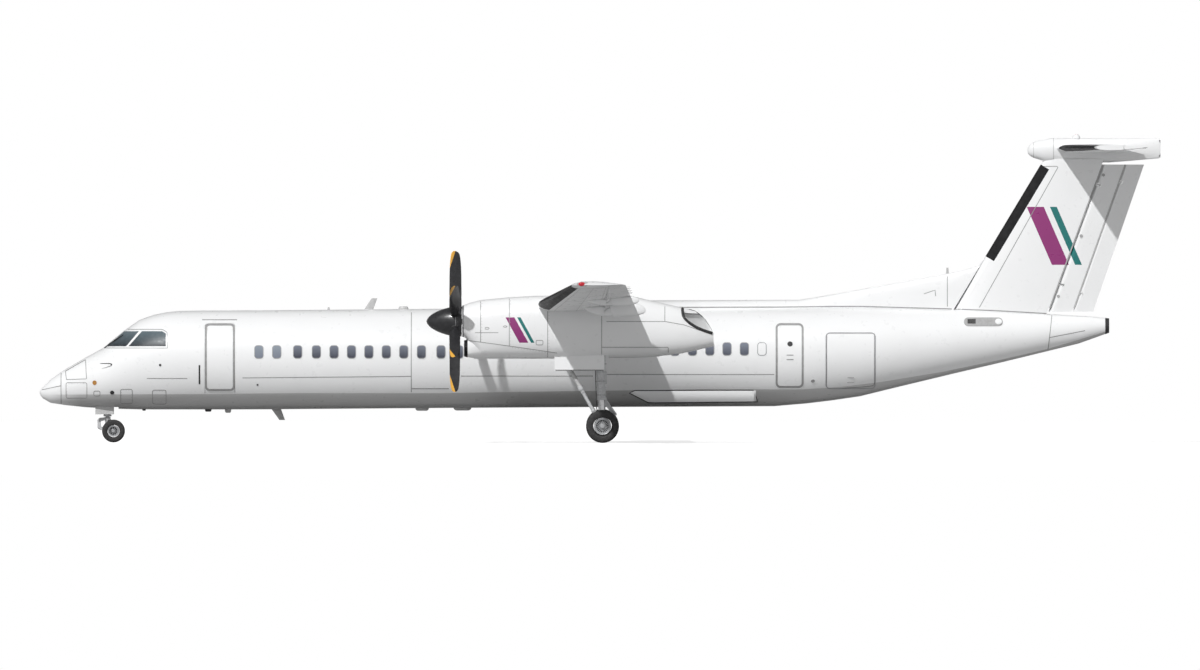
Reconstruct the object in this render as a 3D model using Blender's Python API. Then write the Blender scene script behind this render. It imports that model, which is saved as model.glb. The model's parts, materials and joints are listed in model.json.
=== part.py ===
"""Twin turboprop high-wing T-tail airliner, standing on its gear.

Metres, nose toward -X, left side toward -Y, up +Z, ground at Z = 0.
"""

import math

import bmesh
import bpy
from mathutils import Vector

# Gaps shared by the whole build
SEAT_GAP = 0.0003
PIN_GAP = 0.00008
MOVE_GAP = 0.012
BURY = 0.04

# Fuselage stations: x, crown height, keel height, half width
HULL = [
    (-16.415, 1.459, 1.457, 0.001),
    (-16.385, 1.535, 1.370, 0.080),
    (-16.315, 1.617, 1.286, 0.150),
    (-16.093, 1.840, 1.157, 0.300),
    (-15.779, 2.062, 1.110, 0.440),
    (-15.645, 2.153, 1.090, 0.490),
    (-15.085, 2.475, 1.031, 0.680),
    (-14.546, 2.771, 0.999, 0.850),
    (-13.940, 3.275, 0.978, 1.000),
    (-13.491, 3.589, 0.967, 1.100),
    (-13.087, 3.732, 0.964, 1.180),
    (-12.686, 3.814, 0.964, 1.240),
    (-12.326, 3.849, 0.964, 1.280),
    (-11.716, 3.861, 0.964, 1.325),
    (-10.837, 3.864, 0.964, 1.345),
    (-9.959, 3.867, 0.967, 1.345),
    (-4.627, 3.914, 1.008, 1.345),
    (0.001, 3.931, 1.037, 1.345),
    (5.099, 3.949, 1.060, 1.345),
    (6.065, 3.958, 1.142, 1.330),
    (6.798, 3.969, 1.230, 1.290),
    (7.618, 3.969, 1.350, 1.220),
    (8.614, 3.943, 1.594, 1.100),
    (10.401, 3.893, 2.024, 0.870),
    (11.719, 3.838, 2.332, 0.690),
    (13.184, 3.756, 2.689, 0.500),
    (14.019, 3.709, 2.894, 0.370),
    (14.400, 3.688, 3.029, 0.300),
    (14.912, 3.630, 3.214, 0.190),
]
HULL_SEGMENTS = 32
RADOME_X = -15.779
TAIL_CONE_X = 13.184

# Ridge along the crown: x, half width at the crown, top height
RIDGE = [
    (-3.221, 0.20, 3.900),
    (-2.700, 0.50, 4.020),
    (-2.200, 0.72, 4.090),
    (-1.170, 0.90, 4.140),
    (0.900, 0.88, 4.160),
    (1.759, 0.70, 4.163),
    (2.900, 0.42, 4.166),
    (5.831, 0.26, 4.177),
    (6.317, 0.22, 4.251),
    (7.032, 0.19, 4.374),
    (7.618, 0.17, 4.479),
    (10.272, 0.13, 4.960),
    (10.840, 0.12, 5.090),
    (11.080, 0.11, 5.180),
    (11.289, 0.10, 5.437),
]
RIDGE_SPLIT_X = 2.900

# Wing
ROOT_LE_X = -1.818
ROOT_TE_X = 0.997
TIP_LE_X = -0.751
TIP_TE_X = 0.731
WING_Z = 4.030
TIP_Z = 4.600
WING_BREAK_Y = 5.050
TIP_Y = 14.210
WING_THICK = 0.165
TIP_THICK = 0.130
HINGE_AT = 0.72
BAY_FRONT = 0.012

# Fin, rudder and tailplane
FIN_BOTTOM_Z = 3.70
FIN_TOP_Z = 8.199
FIN_LE = ((10.369, 3.908), (12.970, 8.232))
RUDDER_HINGE = ((13.289, 3.849), (14.877, 8.199))
TAB_HINGE = ((13.910, 3.785), (15.466, 8.167))
FIN_TE = ((14.400, 3.703), (15.955, 8.185))
RUDDER_BOTTOM_Z = 3.830
RUDDER_TOP_Z = 8.140
TAIL_Z = 8.610
TAIL_LE = (13.383, 14.464)
TAIL_TE = (15.861, 15.861)
TAIL_HINGE = (14.985, 15.330)
TAIL_HALF_SPAN = 4.635

BEACON_X = 13.954
BEACON = [(8.840, 0.110), (8.950, 0.110), (9.000, 0.080), (9.026, 0.030)]
BULLET = [
    (12.528, 8.549, 8.547, 0.002),
    (12.627, 8.668, 8.443, 0.075),
    (12.891, 8.806, 8.308, 0.145),
    (13.289, 8.911, 8.211, 0.200),
    (14.912, 8.911, 8.199, 0.200),
    (15.527, 8.911, 8.246, 0.160),
    (16.100, 8.911, 8.298, 0.095),
    (16.368, 8.911, 8.322, 0.060),
    (16.418, 8.880, 8.345, 0.040),
]

# Nacelles: x, top height, bottom height, half width
NACELLE_Y = 4.400
NACELLE = [
    (-4.012, 3.996, 3.102, 0.447),
    (-3.920, 4.035, 3.060, 0.490),
    (-3.807, 4.078, 2.900, 0.530),
    (-3.485, 4.163, 2.455, 0.590),
    (-2.635, 4.245, 2.455, 0.620),
    (-1.873, 4.286, 2.455, 0.630),
    (-1.463, 4.290, 2.455, 0.630),
    (0.001, 4.303, 2.478, 0.630),
    (0.851, 4.300, 2.478, 0.600),
    (1.466, 4.154, 2.502, 0.550),
    (1.935, 4.048, 2.552, 0.500),
    (2.433, 3.934, 2.616, 0.440),
    (3.312, 3.700, 2.818, 0.330),
]
NACELLE_SEGMENTS = 24
COWL_BACK_X = -1.900
JETPIPE_X = 1.700
COWL_SKIN = 0.030
CHIN = [
    (-3.956, 2.991, 2.525, 0.300),
    (-3.854, 3.010, 2.495, 0.340),
    (-3.485, 3.250, 2.455, 0.470),
    (-3.200, 3.300, 2.500, 0.480),
]
SHAFT_RADIUS = 0.080

# Propellers
PROP_X = -4.232
PROP_Z = 3.542
PROP_RADIUS = 2.055
BLADES = 6
SPINNER = [
    (-5.058, 0.004),
    (-5.030, 0.075),
    (-4.950, 0.165),
    (-4.800, 0.265),
    (-4.600, 0.350),
    (-4.400, 0.405),
    (-4.200, 0.435),
    (-4.030, 0.440),
]

# Landing gear
MAIN_X = 0.075
MAIN_Z = 0.483
MAIN_TYRE = (0.483, 0.250, 0.130)
MAIN_OFFSET = 0.270
NOSE_X = -14.250
NOSE_Z = 0.334
NOSE_TYRE = (0.334, 0.165, 0.085)
NOSE_OFFSET = 0.175
STRUT_X = -14.425

# Doors: front x, rear x, sill height, head height
PASSENGER_DOOR = (-11.564, -10.676, 1.450, 3.489)
AFT_DOOR = (5.140, 5.957, 1.602, 3.489)
BAGGAGE_DOOR = (6.631, 8.037, 1.594, 3.190)
DOOR_THICK = 0.080
ENTRY_WALL_Y = -0.45
TREADS = 5
TREAD_THICK = 0.030
HINGE_DEPTH = 0.040
PASSENGER_TURN = 130
BAGGAGE_TURN = 105

MATERIALS = {
    "white_paint": ((0.86, 0.87, 0.88), 0.35, 0.0),
    "dark_composite": ((0.025, 0.025, 0.028), 0.45, 0.0),
    "window_glass": ((0.08, 0.12, 0.16), 0.08, 0.0),
    "bare_metal": ((0.55, 0.56, 0.58), 0.35, 0.9),
    "gear_paint": ((0.70, 0.71, 0.72), 0.4, 0.1),
    "dark_metal": ((0.16, 0.16, 0.17), 0.5, 0.8),
    "tyre_rubber": ((0.03, 0.03, 0.032), 0.85, 0.0),
}


def clear_scene():
    """Empty the startup scene."""
    for found in list(bpy.data.objects):
        bpy.data.objects.remove(found, do_unlink=True)


def material(name):
    """One Principled material per slot name."""
    made = bpy.data.materials.get(name)
    if made:
        return made
    colour, rough, metal = MATERIALS[name]
    made = bpy.data.materials.new(name)
    made.use_nodes = True
    shader = made.node_tree.nodes["Principled BSDF"]
    shader.inputs["Base Color"].default_value = (*colour, 1.0)
    shader.inputs["Roughness"].default_value = rough
    shader.inputs["Metallic"].default_value = metal
    made.diffuse_color = (*colour, 1.0)
    return made


def make(name, shape, slot=None, origin=(0, 0, 0), smooth=True):
    """Turn a (points, faces) shape into an object whose origin is on its joint."""
    points, faces = shape
    mesh = bpy.data.meshes.new(name)
    base = Vector(origin)
    mesh.from_pydata([tuple(Vector(p) - base) for p in points], [], faces)
    work = bmesh.new()
    work.from_mesh(mesh)
    bmesh.ops.recalc_face_normals(work, faces=work.faces)
    work.to_mesh(mesh)
    work.free()
    made = bpy.data.objects.new(name, mesh)
    made.location = base
    bpy.context.scene.collection.objects.link(made)
    if slot:
        mesh.materials.append(material(slot))
    else:
        made.hide_render = True
        made.display_type = "WIRE"
        smooth = False
    if smooth:
        mesh.shade_smooth()
        mesh.set_sharp_from_angle(angle=math.radians(32))
    return made


def combine(*shapes):
    """Join separate shapes that don't touch into one shape."""
    points = []
    faces = []
    for some_points, some_faces in shapes:
        start = len(points)
        points.extend(some_points)
        faces.extend([[start + i for i in face] for face in some_faces])
    return points, faces


def carve(target, shape, operation="DIFFERENCE", name=None):
    """Cut a shape out of an object, or join or keep only what they share."""
    label = name or f"{target.name}_{operation.lower()}_{len(target.modifiers)}"
    cutter = make(label, shape)
    step = target.modifiers.new(label, "BOOLEAN")
    step.operation = operation
    step.solver = "EXACT"
    step.object = cutter
    return cutter


def loft(rings):
    """Skin a list of rings with the same number of points, closed at both ends."""
    count = len(rings[0])
    points = [p for ring in rings for p in ring]
    faces = []
    for row in range(len(rings) - 1):
        for i in range(count):
            j = (i + 1) % count
            a = row * count
            b = a + count
            faces.append([a + i, a + j, b + j])
            faces.append([a + i, b + j, b + i])
    faces.append(list(range(count))[::-1])
    last = (len(rings) - 1) * count
    faces.append([last + i for i in range(count)])
    return points, faces


def oval(x, top, bottom, half_width, centre_y=0.0, count=HULL_SEGMENTS, power=2.0):
    """A rounded section across X, rounder-cornered as the power rises."""
    middle = (top + bottom) / 2
    half_height = (top - bottom) / 2
    ring = []
    for i in range(count):
        angle = 2 * math.pi * i / count
        c = math.cos(angle)
        s = math.sin(angle)
        y = half_width * math.copysign(abs(s) ** (2 / power), s)
        z = half_height * math.copysign(abs(c) ** (2 / power), c)
        ring.append((x, centre_y + y, middle + z))
    return ring


def between(table, x):
    """The table's row at x, by straight lines between its stations."""
    for first, second in zip(table, table[1:]):
        if first[0] <= x <= second[0]:
            t = (x - first[0]) / (second[0] - first[0])
            return tuple(a + (b - a) * t for a, b in zip(first, second))
    return table[0] if x < table[0][0] else table[-1]


def stations(table, x0, x1):
    """Rows of a table from x0 to x1, with rows added at both ends."""
    inner = [row for row in table if x0 + 1e-4 < row[0] < x1 - 1e-4]
    return [between(table, x0), *inner, between(table, x1)]


def skin(inset, x0, x1):
    """The fuselage shape shrunk by the inset, over whole stations round x0 to x1."""
    first = max(row[0] for row in HULL if row[0] <= x0)
    last = min(row[0] for row in HULL if row[0] >= x1)
    return body(HULL, first, last, inset)


def body(table, x0, x1, inset=0.0, centre_y=0.0, count=HULL_SEGMENTS, power=2.0):
    """A closed body along X from a table, shrunk all round by the inset."""
    rings = []
    for x, top, bottom, half in stations(table, x0, x1):
        rings.append(
            oval(x, top - inset, bottom + inset, half - inset, centre_y, count, power)
        )
    return loft(rings)


def hull_y(x, z):
    """Half width of the fuselage skin at a place along it and a height."""
    _, top, bottom, half = between(HULL, x)
    part = (z - (top + bottom) / 2) / ((top - bottom) / 2)
    return half * math.sqrt(max(0.0, 1 - part * part))


def box(x0, x1, y0, y1, z0, z1):
    """A box from its limits."""
    return loft(
        [
            [(x, y0, z0), (x, y1, z0), (x, y1, z1), (x, y0, z1)]
            for x in (x0, x1)
        ]
    )


def prism(outline, y0, y1):
    """A side-view outline pushed across Y."""
    return loft([[(x, y, z) for x, z in outline] for y in (y0, y1)])


def plan_prism(outline, z0, z1):
    """A plan-view outline pushed up Z."""
    return loft([[(x, y, z) for x, y in outline] for z in (z0, z1)])


def tube(start, end, radius, count=16, end_radius=None, turn=0.5):
    """A round bar between two points, tapered if a second radius is given."""
    start = Vector(start)
    end = Vector(end)
    along = (end - start).normalized()
    side = along.orthogonal().normalized()
    if abs(along.y) > 0.9:
        side = Vector((0, 0, 1)) - along * along.z
        side.normalize()
    other = along.cross(side)
    rings = []
    for centre, size in ((start, radius), (end, end_radius or radius)):
        ring = []
        for i in range(count):
            angle = 2 * math.pi * (i + turn) / count
            ring.append(
                tuple(centre + size * (math.cos(angle) * side + math.sin(angle) * other))
            )
        rings.append(ring)
    return loft(rings)


def turned_y(profile, x, y, z, count):
    """A closed ring profile of (sideways, radius) pairs turned about a Y axis."""
    points = []
    faces = []
    size = len(profile)
    for i in range(count):
        angle = 2 * math.pi * i / count
        for across, radius in profile:
            points.append(
                (x + radius * math.sin(angle), y + across, z - radius * math.cos(angle))
            )
    for i in range(count):
        j = (i + 1) % count
        for k in range(size):
            n = (k + 1) % size
            faces.append([i * size + k, i * size + n, j * size + n, j * size + k])
    return points, faces


def frame_bar(point, along, forward, ahead, behind, half_height, half_length):
    """A box set on a hinge line: ahead and behind it, and to both sides."""
    p = Vector(point)
    a = Vector(along).normalized()
    f = Vector(forward)
    f = (f - a * f.dot(a)).normalized()
    n = a.cross(f)
    rings = []
    for step in (-half_length, half_length):
        corners = [
            (ahead, -half_height),
            (ahead, half_height),
            (-behind, half_height),
            (-behind, -half_height),
        ]
        rings.append([tuple(p + a * step + f * u + n * v) for u, v in corners])
    return loft(rings)


def bracket_plate(point, along, forward, reach, radius, half_length):
    """A hinge plate that runs from its fixed side to a round end on the hinge line."""
    p = Vector(point)
    a = Vector(along).normalized()
    f = Vector(forward)
    f = (f - a * f.dot(a)).normalized()
    n = a.cross(f)
    outline = [(reach, -radius), (reach, radius)]
    for i in range(5):
        angle = math.pi / 2 + math.pi * i / 4
        outline.append((radius * math.cos(angle), radius * math.sin(angle)))
    rings = []
    for step in (-half_length, half_length):
        rings.append([tuple(p + a * step + f * u + n * v) for u, v in outline])
    return loft(rings)


def bore_for(rod, sides):
    """Radius of a many-sided bore whose flats clear a turning rod."""
    return (rod + PIN_GAP) / math.cos(math.pi / sides)


def hang(fixed, moving, start, end, places, forward, reach, plate=0.030, rod=0.012):
    """Hinge a moving surface on brackets of the fixed one, on rods in its notches."""
    start = Vector(start)
    end = Vector(end)
    along = (end - start).normalized()
    notches = []
    plates = []
    rods = []
    bores = []
    width = 0.030
    for place in places:
        p = start + (end - start) * place
        notches.append(
            frame_bar(p, along, forward, reach, plate + 0.008, 0.4, width + 0.008)
        )
        plates.append(bracket_plate(p, along, forward, reach + 0.03, plate, width))
        hold = width + 0.035
        rods.append(tube(p - along * hold, p + along * hold, rod, 8, turn=0))
        hold += 0.006
        bores.append(tube(p - along * hold, p + along * hold, bore_for(rod, 8), 8))
    carve(moving, combine(*notches))
    carve(moving, combine(*bores))
    carve(fixed, combine(*plates), "UNION")
    carve(fixed, combine(*rods), "UNION")


def foil_point(share, thick, side):
    """Height of a wing section's skin, as a share of the chord, above its chord line."""
    t = share
    half = 5 * thick * (
        0.2969 * math.sqrt(t) - 0.1260 * t - 0.3516 * t**2 + 0.2843 * t**3 - 0.1030 * t**4
    )
    camber = 0.10 * thick * math.sin(math.pi * t)
    return camber + side * (half + 0.0008)


FOIL_STEPS = (0.0, 0.012, 0.05, 0.12, 0.25, 0.42, 0.60)


def foil(le, te, thick, grow=0.0, flat=False, from_share=None, to_share=1.0):
    """Section outline as (along chord, height): whole, its front, or its tail with a round nose."""
    chord = te - le

    def skin(share, side):
        height = foil_point(share, thick, side)
        if flat:
            height = side * abs(foil_point(share, thick, side) - 0.10 * thick * math.sin(math.pi * share))
        behind = grow if share >= to_share else 0.0
        return (le + chord * share + behind, chord * height + side * grow)

    if from_share is None:
        steps = [s for s in FOIL_STEPS if s < to_share - 0.03]
        tail = [to_share] if to_share < 1 else [0.72, 0.86, 1.0]
        upper = [skin(s, 1) for s in [*steps[1:], *tail]]
        lower = [skin(s, -1) for s in [*steps[1:], *tail]]
        nose = (le - grow, skin(0, 1)[1] - grow)
        if flat:
            nose = (le - grow, 0.0)
        return [nose, *upper, *lower[::-1]]
    top = skin(from_share, 1)
    low = skin(from_share, -1)
    middle = (top[1] + low[1]) / 2
    radius = (top[1] - low[1]) / 2
    ring = []
    for i in range(1, 6):
        angle = math.pi / 2 + math.pi * i / 6
        ring.append((top[0] + radius * math.cos(angle), middle + radius * math.sin(angle)))
    steps = [0.5 * (from_share + 1.0), 1.0]
    return [top, *ring, low, *[skin(s, -1) for s in steps], *[skin(s, 1) for s in steps[::-1]]]


def hinge_height(le, te, thick, share, flat=False):
    """Middle of the section at the hinge, and its half height there."""
    if flat:
        return 0.0, (te - le) * (foil_point(share, thick, 1) - 0.10 * thick * math.sin(math.pi * share))
    top = foil_point(share, thick, 1)
    low = foil_point(share, thick, -1)
    return (te - le) * (top + low) / 2, (te - le) * (top - low) / 2


def wing_at(y):
    """Leading edge, trailing edge, chord height and thickness at a distance out."""
    t = max(0.0, min(1.0, (y - WING_BREAK_Y) / (TIP_Y - WING_BREAK_Y)))
    return (
        ROOT_LE_X + (TIP_LE_X - ROOT_LE_X) * t,
        ROOT_TE_X + (TIP_TE_X - ROOT_TE_X) * t,
        WING_Z + (TIP_Z - WING_Z) * t,
        WING_THICK + (TIP_THICK - WING_THICK) * t,
    )


def wing_ring(y, side, grow=0.0, **part):
    """One wing section at a distance out, on the left (-1) or right (+1)."""
    le, te, z, thick = wing_at(y)
    return [(x, side * y, z + h) for x, h in foil(le, te, thick, grow, **part)]


def centre_cut(reach):
    """Cutter with the shape of the centre wing, a seat's gap larger."""
    le, te, z, thick = wing_at(0)
    outline = foil(le, te, thick, SEAT_GAP)
    return loft([[(x, y, z + h) for x, h in outline] for y in (-reach, reach)])


def wing_hinge(y, side):
    """A point of the hinge line of flaps and ailerons."""
    le, te, z, thick = wing_at(y)
    rise, _ = hinge_height(le, te, thick, HINGE_AT)
    return (le + (te - le) * HINGE_AT, side * y, z + rise)


def wing_bay(y0, y1, side):
    """Cutter for the bay that holds a flap or an aileron."""
    outline = []
    for y in (y0, y1):
        le, te, _, thick = wing_at(y)
        _, half = hinge_height(le, te, thick, HINGE_AT)
        outline.append((le + (te - le) * HINGE_AT - half - BAY_FRONT, side * y))
    outline += [(2.0, side * y1), (2.0, side * y0)]
    return plan_prism(outline, 3.0, 6.0)


def wing_surface(name, fixed, y0, y1, side, places):
    """A flap or an aileron hung in its bay of the wing."""
    gap = 0.035
    carve(fixed, wing_bay(y0, y1, side))
    a = y0 + gap
    b = y1 - gap
    rings = [wing_ring(y, side, from_share=HINGE_AT) for y in (a, b)]
    start = wing_hinge(a, side)
    end = wing_hinge(b, side)
    moving = make(name, loft(rings), "white_paint", start)
    hang(fixed, moving, start, end, places, (-1, 0, 0), 0.17)
    return moving


def line_x(line, z):
    """The x of a slanted tail line at a height."""
    (x0, z0), (x1, z1) = line
    return x0 + (x1 - x0) * (z - z0) / (z1 - z0)


def fin_ring(z, front, rear, nose_round):
    """A fin or rudder section at a height: from one line back to another."""
    le = line_x(FIN_LE, z)
    te = line_x(FIN_TE, z)
    thick = 0.115
    chord = te - le
    s0 = (front - le) / chord
    s1 = (rear - le) / chord

    def half(share):
        share = max(0.0, min(1.0, share))
        return hinge_height(le, te, thick, share, flat=True)[1]

    ring = []
    if nose_round:
        radius = half(s0)
        for i in range(9):
            angle = math.pi / 2 + math.pi * i / 8
            ring.append((front + radius * math.cos(angle), -radius * math.sin(angle), z))
    else:
        for s in (0.25, 0.12, 0.05, 0.012, 0.0, 0.012, 0.05, 0.12, 0.25):
            ring.append((le + chord * s, half(s), z))
        for i in range(4):
            ring[i] = (ring[i][0], -ring[i][1], z)
        ring[4] = (le, 0.0, z)
    back = [s0 + (s1 - s0) * 0.5, s1] if nose_round else [0.45, s1]
    ring += [(le + chord * s, half(s), z) for s in back]
    ring += [(le + chord * s, -half(s), z) for s in back[::-1]]
    return ring


def tail_at(y):
    """Leading edge, trailing edge and hinge of the tailplane at a distance out."""
    t = max(0.0, y - 0.23) / (TAIL_HALF_SPAN - 0.23)
    return (
        TAIL_LE[0] + (TAIL_LE[1] - TAIL_LE[0]) * t,
        TAIL_TE[0] + (TAIL_TE[1] - TAIL_TE[0]) * t,
        TAIL_HINGE[0] + (TAIL_HINGE[1] - TAIL_HINGE[0]) * t,
    )


def tail_ring(y, side, part, grow=0.0):
    """A tailplane section: its fixed front, its elevator or all of it."""
    le, te, hinge = tail_at(y)
    share = (hinge - le) / (te - le)
    options = {"front": {"to_share": share}, "rear": {"from_share": share}, "whole": {}}
    outline = foil(le, te, 0.11, grow, flat=True, **options[part])
    return [(x, side * y, TAIL_Z + h) for x, h in outline]


def build_fuselage():
    """Fuselage with its nose, tail cone, glazing, doors and crown fairings."""
    gap = SEAT_GAP / 2
    hull = make("fuselage", body(HULL, RADOME_X + gap, TAIL_CONE_X - gap), "white_paint")
    make("radome", body(HULL, HULL[0][0], RADOME_X - gap), "white_paint")
    make("tail_cone", body(HULL, TAIL_CONE_X + gap, HULL[-1][0]), "white_paint")
    return hull


def skin_panel(hull, name, slot, outline, side, thick, gap):
    """A panel let into the skin: its pocket in the hull and the panel in it."""
    x0 = min(p[0] for p in outline) - 0.6
    x1 = max(p[0] for p in outline) + 0.6
    middle_x = sum(p[0] for p in outline) / len(outline)
    middle_z = sum(p[1] for p in outline) / len(outline)

    def grown(extra):
        points = []
        count = len(outline)
        for i in range(count):
            a = Vector(outline[i - 1])
            b = Vector(outline[i])
            c = Vector(outline[(i + 1) % count])
            first = (b - a).normalized()
            second = (c - b).normalized()
            n1 = Vector((first.y, -first.x))
            n2 = Vector((second.y, -second.x))
            out = (n1 + n2).normalized()
            if out.dot(b - Vector((middle_x, middle_z))) < 0:
                out = -out
            scale = 1 / max(0.4, abs(out.dot(n1)))
            points.append(tuple(b + out * extra * scale))
        return points

    pocket = make(f"{name}_pocket", prism(grown(0.0), *side))
    carve(pocket, skin(thick + gap, x0, x1), name=f"{name}_pocket_core")
    step = hull.modifiers.new(f"{name}_pocket", "BOOLEAN")
    step.operation = "DIFFERENCE"
    step.solver = "EXACT"
    step.object = pocket
    start, end = side
    if abs(start) < abs(end):
        start += math.copysign(gap if abs(start) > 0 else 0.0, end)
    else:
        end += math.copysign(gap if abs(end) > 0 else 0.0, start)
    panel = make(name, prism(grown(-gap), start, end), slot)
    carve(panel, skin(0.0, x0, x1), "INTERSECT")
    carve(panel, skin(thick, x0, x1))
    return panel


def rounded(x0, x1, z0, z1, radius, low=None, steps=3):
    """A rounded rectangle in side view; its lower corners may have a radius of their own."""
    low = radius if low is None else low
    outline = []
    corners = (
        (x1 - radius, z1 - radius, 0, radius),
        (x0 + radius, z1 - radius, 90, radius),
        (x0 + low, z0 + low, 180, low),
        (x1 - low, z0 + low, 270, low),
    )
    for cx, cz, first, size in corners:
        for i in range(steps + 1):
            angle = math.radians(first + 90 * i / steps)
            outline.append((cx + size * math.cos(angle), cz + size * math.sin(angle)))
    return outline


def build_glazing(hull):
    """Two front panes and a side pane each side of the cockpit."""
    front = [(-14.440, 2.815), (-13.935, 3.258), (-13.495, 3.258), (-13.865, 2.815)]
    rear = [(-13.800, 2.815), (-13.405, 3.258), (-12.822, 3.258), (-12.700, 3.190), (-12.700, 2.815)]
    for label, side in (("left", -1), ("right", 1)):
        skin_panel(hull, f"windshield_{label}", "window_glass", front, (side * 0.030, side * 2), 0.035, SEAT_GAP)
        skin_panel(hull, f"cockpit_window_{label}", "window_glass", rear, (side * 0.25, side * 2), 0.035, SEAT_GAP)


def door_block(limits, draft, end, y_in, head_radius, sill_radius):
    """A door-shaped cutter whose head or sill slopes, to let the door swing out."""
    x0, x1, z0, z1 = limits
    rings = []
    skin_y = hull_y((x0 + x1) / 2, z1 if end == "head" else z0)
    for y in (-2.0, y_in):
        shift = draft * (skin_y - abs(y))
        low = z0 + (shift if end == "sill" else 0.0)
        high = z1 - (shift if end == "head" else 0.0)
        outline = rounded(x0, x1, low, high, head_radius, sill_radius)
        rings.append([(x, y, z) for x, z in outline])
    return loft(rings)


def swing_point(x, edge_z, up, turn):
    """Hinge point inside the skin that lets a door turn out past its own edge.

    The door ends in a round edge about this point, so it clears its frame by the same gap all
    the way. The second value is the radius from the hinge to the frame's edge.
    """
    edge = Vector((x, -hull_y(x, edge_z), edge_z))
    further = edge_z + up * 0.08
    along = (Vector((x, -hull_y(x, further), further)) - edge).normalized()
    inward = Vector((0.0, abs(along.z), -along.y * math.copysign(1, along.z)))
    past = HINGE_DEPTH * math.tan(math.radians(turn / 2)) + 0.008
    return edge + along * past + inward * HINGE_DEPTH, math.hypot(past, HINGE_DEPTH)


def round_edge(name, start, end, radius, x0, x1):
    """A bar along a hinge line, cut square at both ends: the round edge or its trough."""
    along = (end - start).normalized()
    bar = make(name, tube(start - along * 0.1, end + along * 0.1, radius, 24))
    carve(bar, box(x0, x1, -3, 0, 0, 5), "INTERSECT")
    return bar


def use(target, cutter, operation):
    """Apply a cutter that has cuts of its own."""
    step = target.modifiers.new(f"{cutter.name}_{operation.lower()}", "BOOLEAN")
    step.operation = operation
    step.solver = "EXACT"
    step.object = cutter


def hinged_door(hull, name, limits, draft, end, y_in, radii, turn):
    """A door in its pocket, hinged on a rod just inside the skin at its sill or head."""
    x0, x1, z0, z1 = limits
    pin = 0.015
    head, sill = radii
    up, edge_z = (1, z0) if end == "head" else (-1, z1)
    start, reach = swing_point(x0, edge_z, up, turn)
    stop, _ = swing_point(x1, edge_z, up, turn)
    along = (stop - start).normalized()
    if end == "head":
        room = (x0, x1, start.z, z1)
        leaf = (x0 + MOVE_GAP, x1 - MOVE_GAP, start.z, z1 - 0.014)
    else:
        room = (x0, x1, z0, start.z)
        leaf = (x0 + MOVE_GAP, x1 - MOVE_GAP, z0 + 0.014, start.z)

    pocket = make(f"{name}_pocket", door_block(room, draft, end, y_in, head, sill))
    carve(pocket, skin(DOOR_THICK + MOVE_GAP, x0 - 1, x1 + 1))
    trough = round_edge(f"{name}_trough", start, stop, reach, x0 - 0.002, x1 + 0.002)
    use(pocket, trough, "UNION")
    use(hull, pocket, "DIFFERENCE")
    carve(hull, tube(start - along * BURY, stop + along * BURY, pin, 12, turn=0), "UNION")

    head, sill = (max(0.002, radius - 0.010) for radius in radii)
    door = make(name, door_block(leaf, draft, end, y_in, head, sill), "white_paint", start)
    edge = round_edge(
        f"{name}_edge", start, stop, reach - 0.007, x0 + MOVE_GAP + 0.002, x1 - MOVE_GAP - 0.002
    )
    use(door, edge, "UNION")
    carve(door, skin(0.0, x0 - 1, x1 + 1), "INTERSECT")
    carve(door, skin(DOOR_THICK, x0 - 1, x1 + 1))
    carve(door, tube(start - along * 0.1, stop + along * 0.1, bore_for(pin, 12), 12))
    return door


def build_passenger_door(hull):
    """Airstair door in the front left side, hinged along its sill, and the entry behind it."""
    x0, x1, z0, z1 = PASSENGER_DOOR
    carve(hull, box(x0 + 0.06, x1 - 0.06, -1.30, ENTRY_WALL_Y, z0 + 0.17, z1 - 0.12))
    door = hinged_door(
        hull, "passenger_door", PASSENGER_DOOR, 0.15, "head", -0.5, (0.10, 0.012), PASSENGER_TURN
    )
    lean = math.radians(PASSENGER_TURN - 92)
    treads = []
    for i in range(TREADS):
        z = z0 + 0.36 + 0.29 * i
        y = -(hull_y((x0 + x1) / 2, z) - DOOR_THICK + 0.020)
        up = (math.sin(lean), math.cos(lean))
        out = (up[1] * TREAD_THICK, -up[0] * TREAD_THICK)
        foot = [(y, z), (y + up[0] * 0.24, z + up[1] * 0.24)]
        outline = foot + [(p + out[0], q + out[1]) for p, q in foot[::-1]]
        treads.append(loft([[(x, p, q) for p, q in outline] for x in (x0 + 0.11, x1 - 0.11)]))
    carve(door, combine(*treads), "UNION")


def build_baggage_door(hull):
    """Baggage door in the rear left side, hinged along its head."""
    hinged_door(
        hull, "baggage_door", BAGGAGE_DOOR, 0.42, "sill", -0.3, (0.012, 0.10), BAGGAGE_TURN
    )


def build_aft_door(hull):
    """The aft door leaves its frame outward before it swings: seated, with no joint."""
    outline = rounded(*AFT_DOOR, 0.10)
    skin_panel(hull, "aft_door", "white_paint", outline, (-0.3, -2), 0.05, SEAT_GAP)


def ridge_body(x0, x1):
    """Crown fairing between two stations, its foot sunk below the crown."""
    rings = []
    for x, half, top in stations(RIDGE, x0, x1):
        foot = between(HULL, x)[1] - 0.55
        rings.append(oval(x, top, foot - (top - foot) * 0.2, half * 1.12, 0, 20, 2.4))
    return loft(rings)


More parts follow.
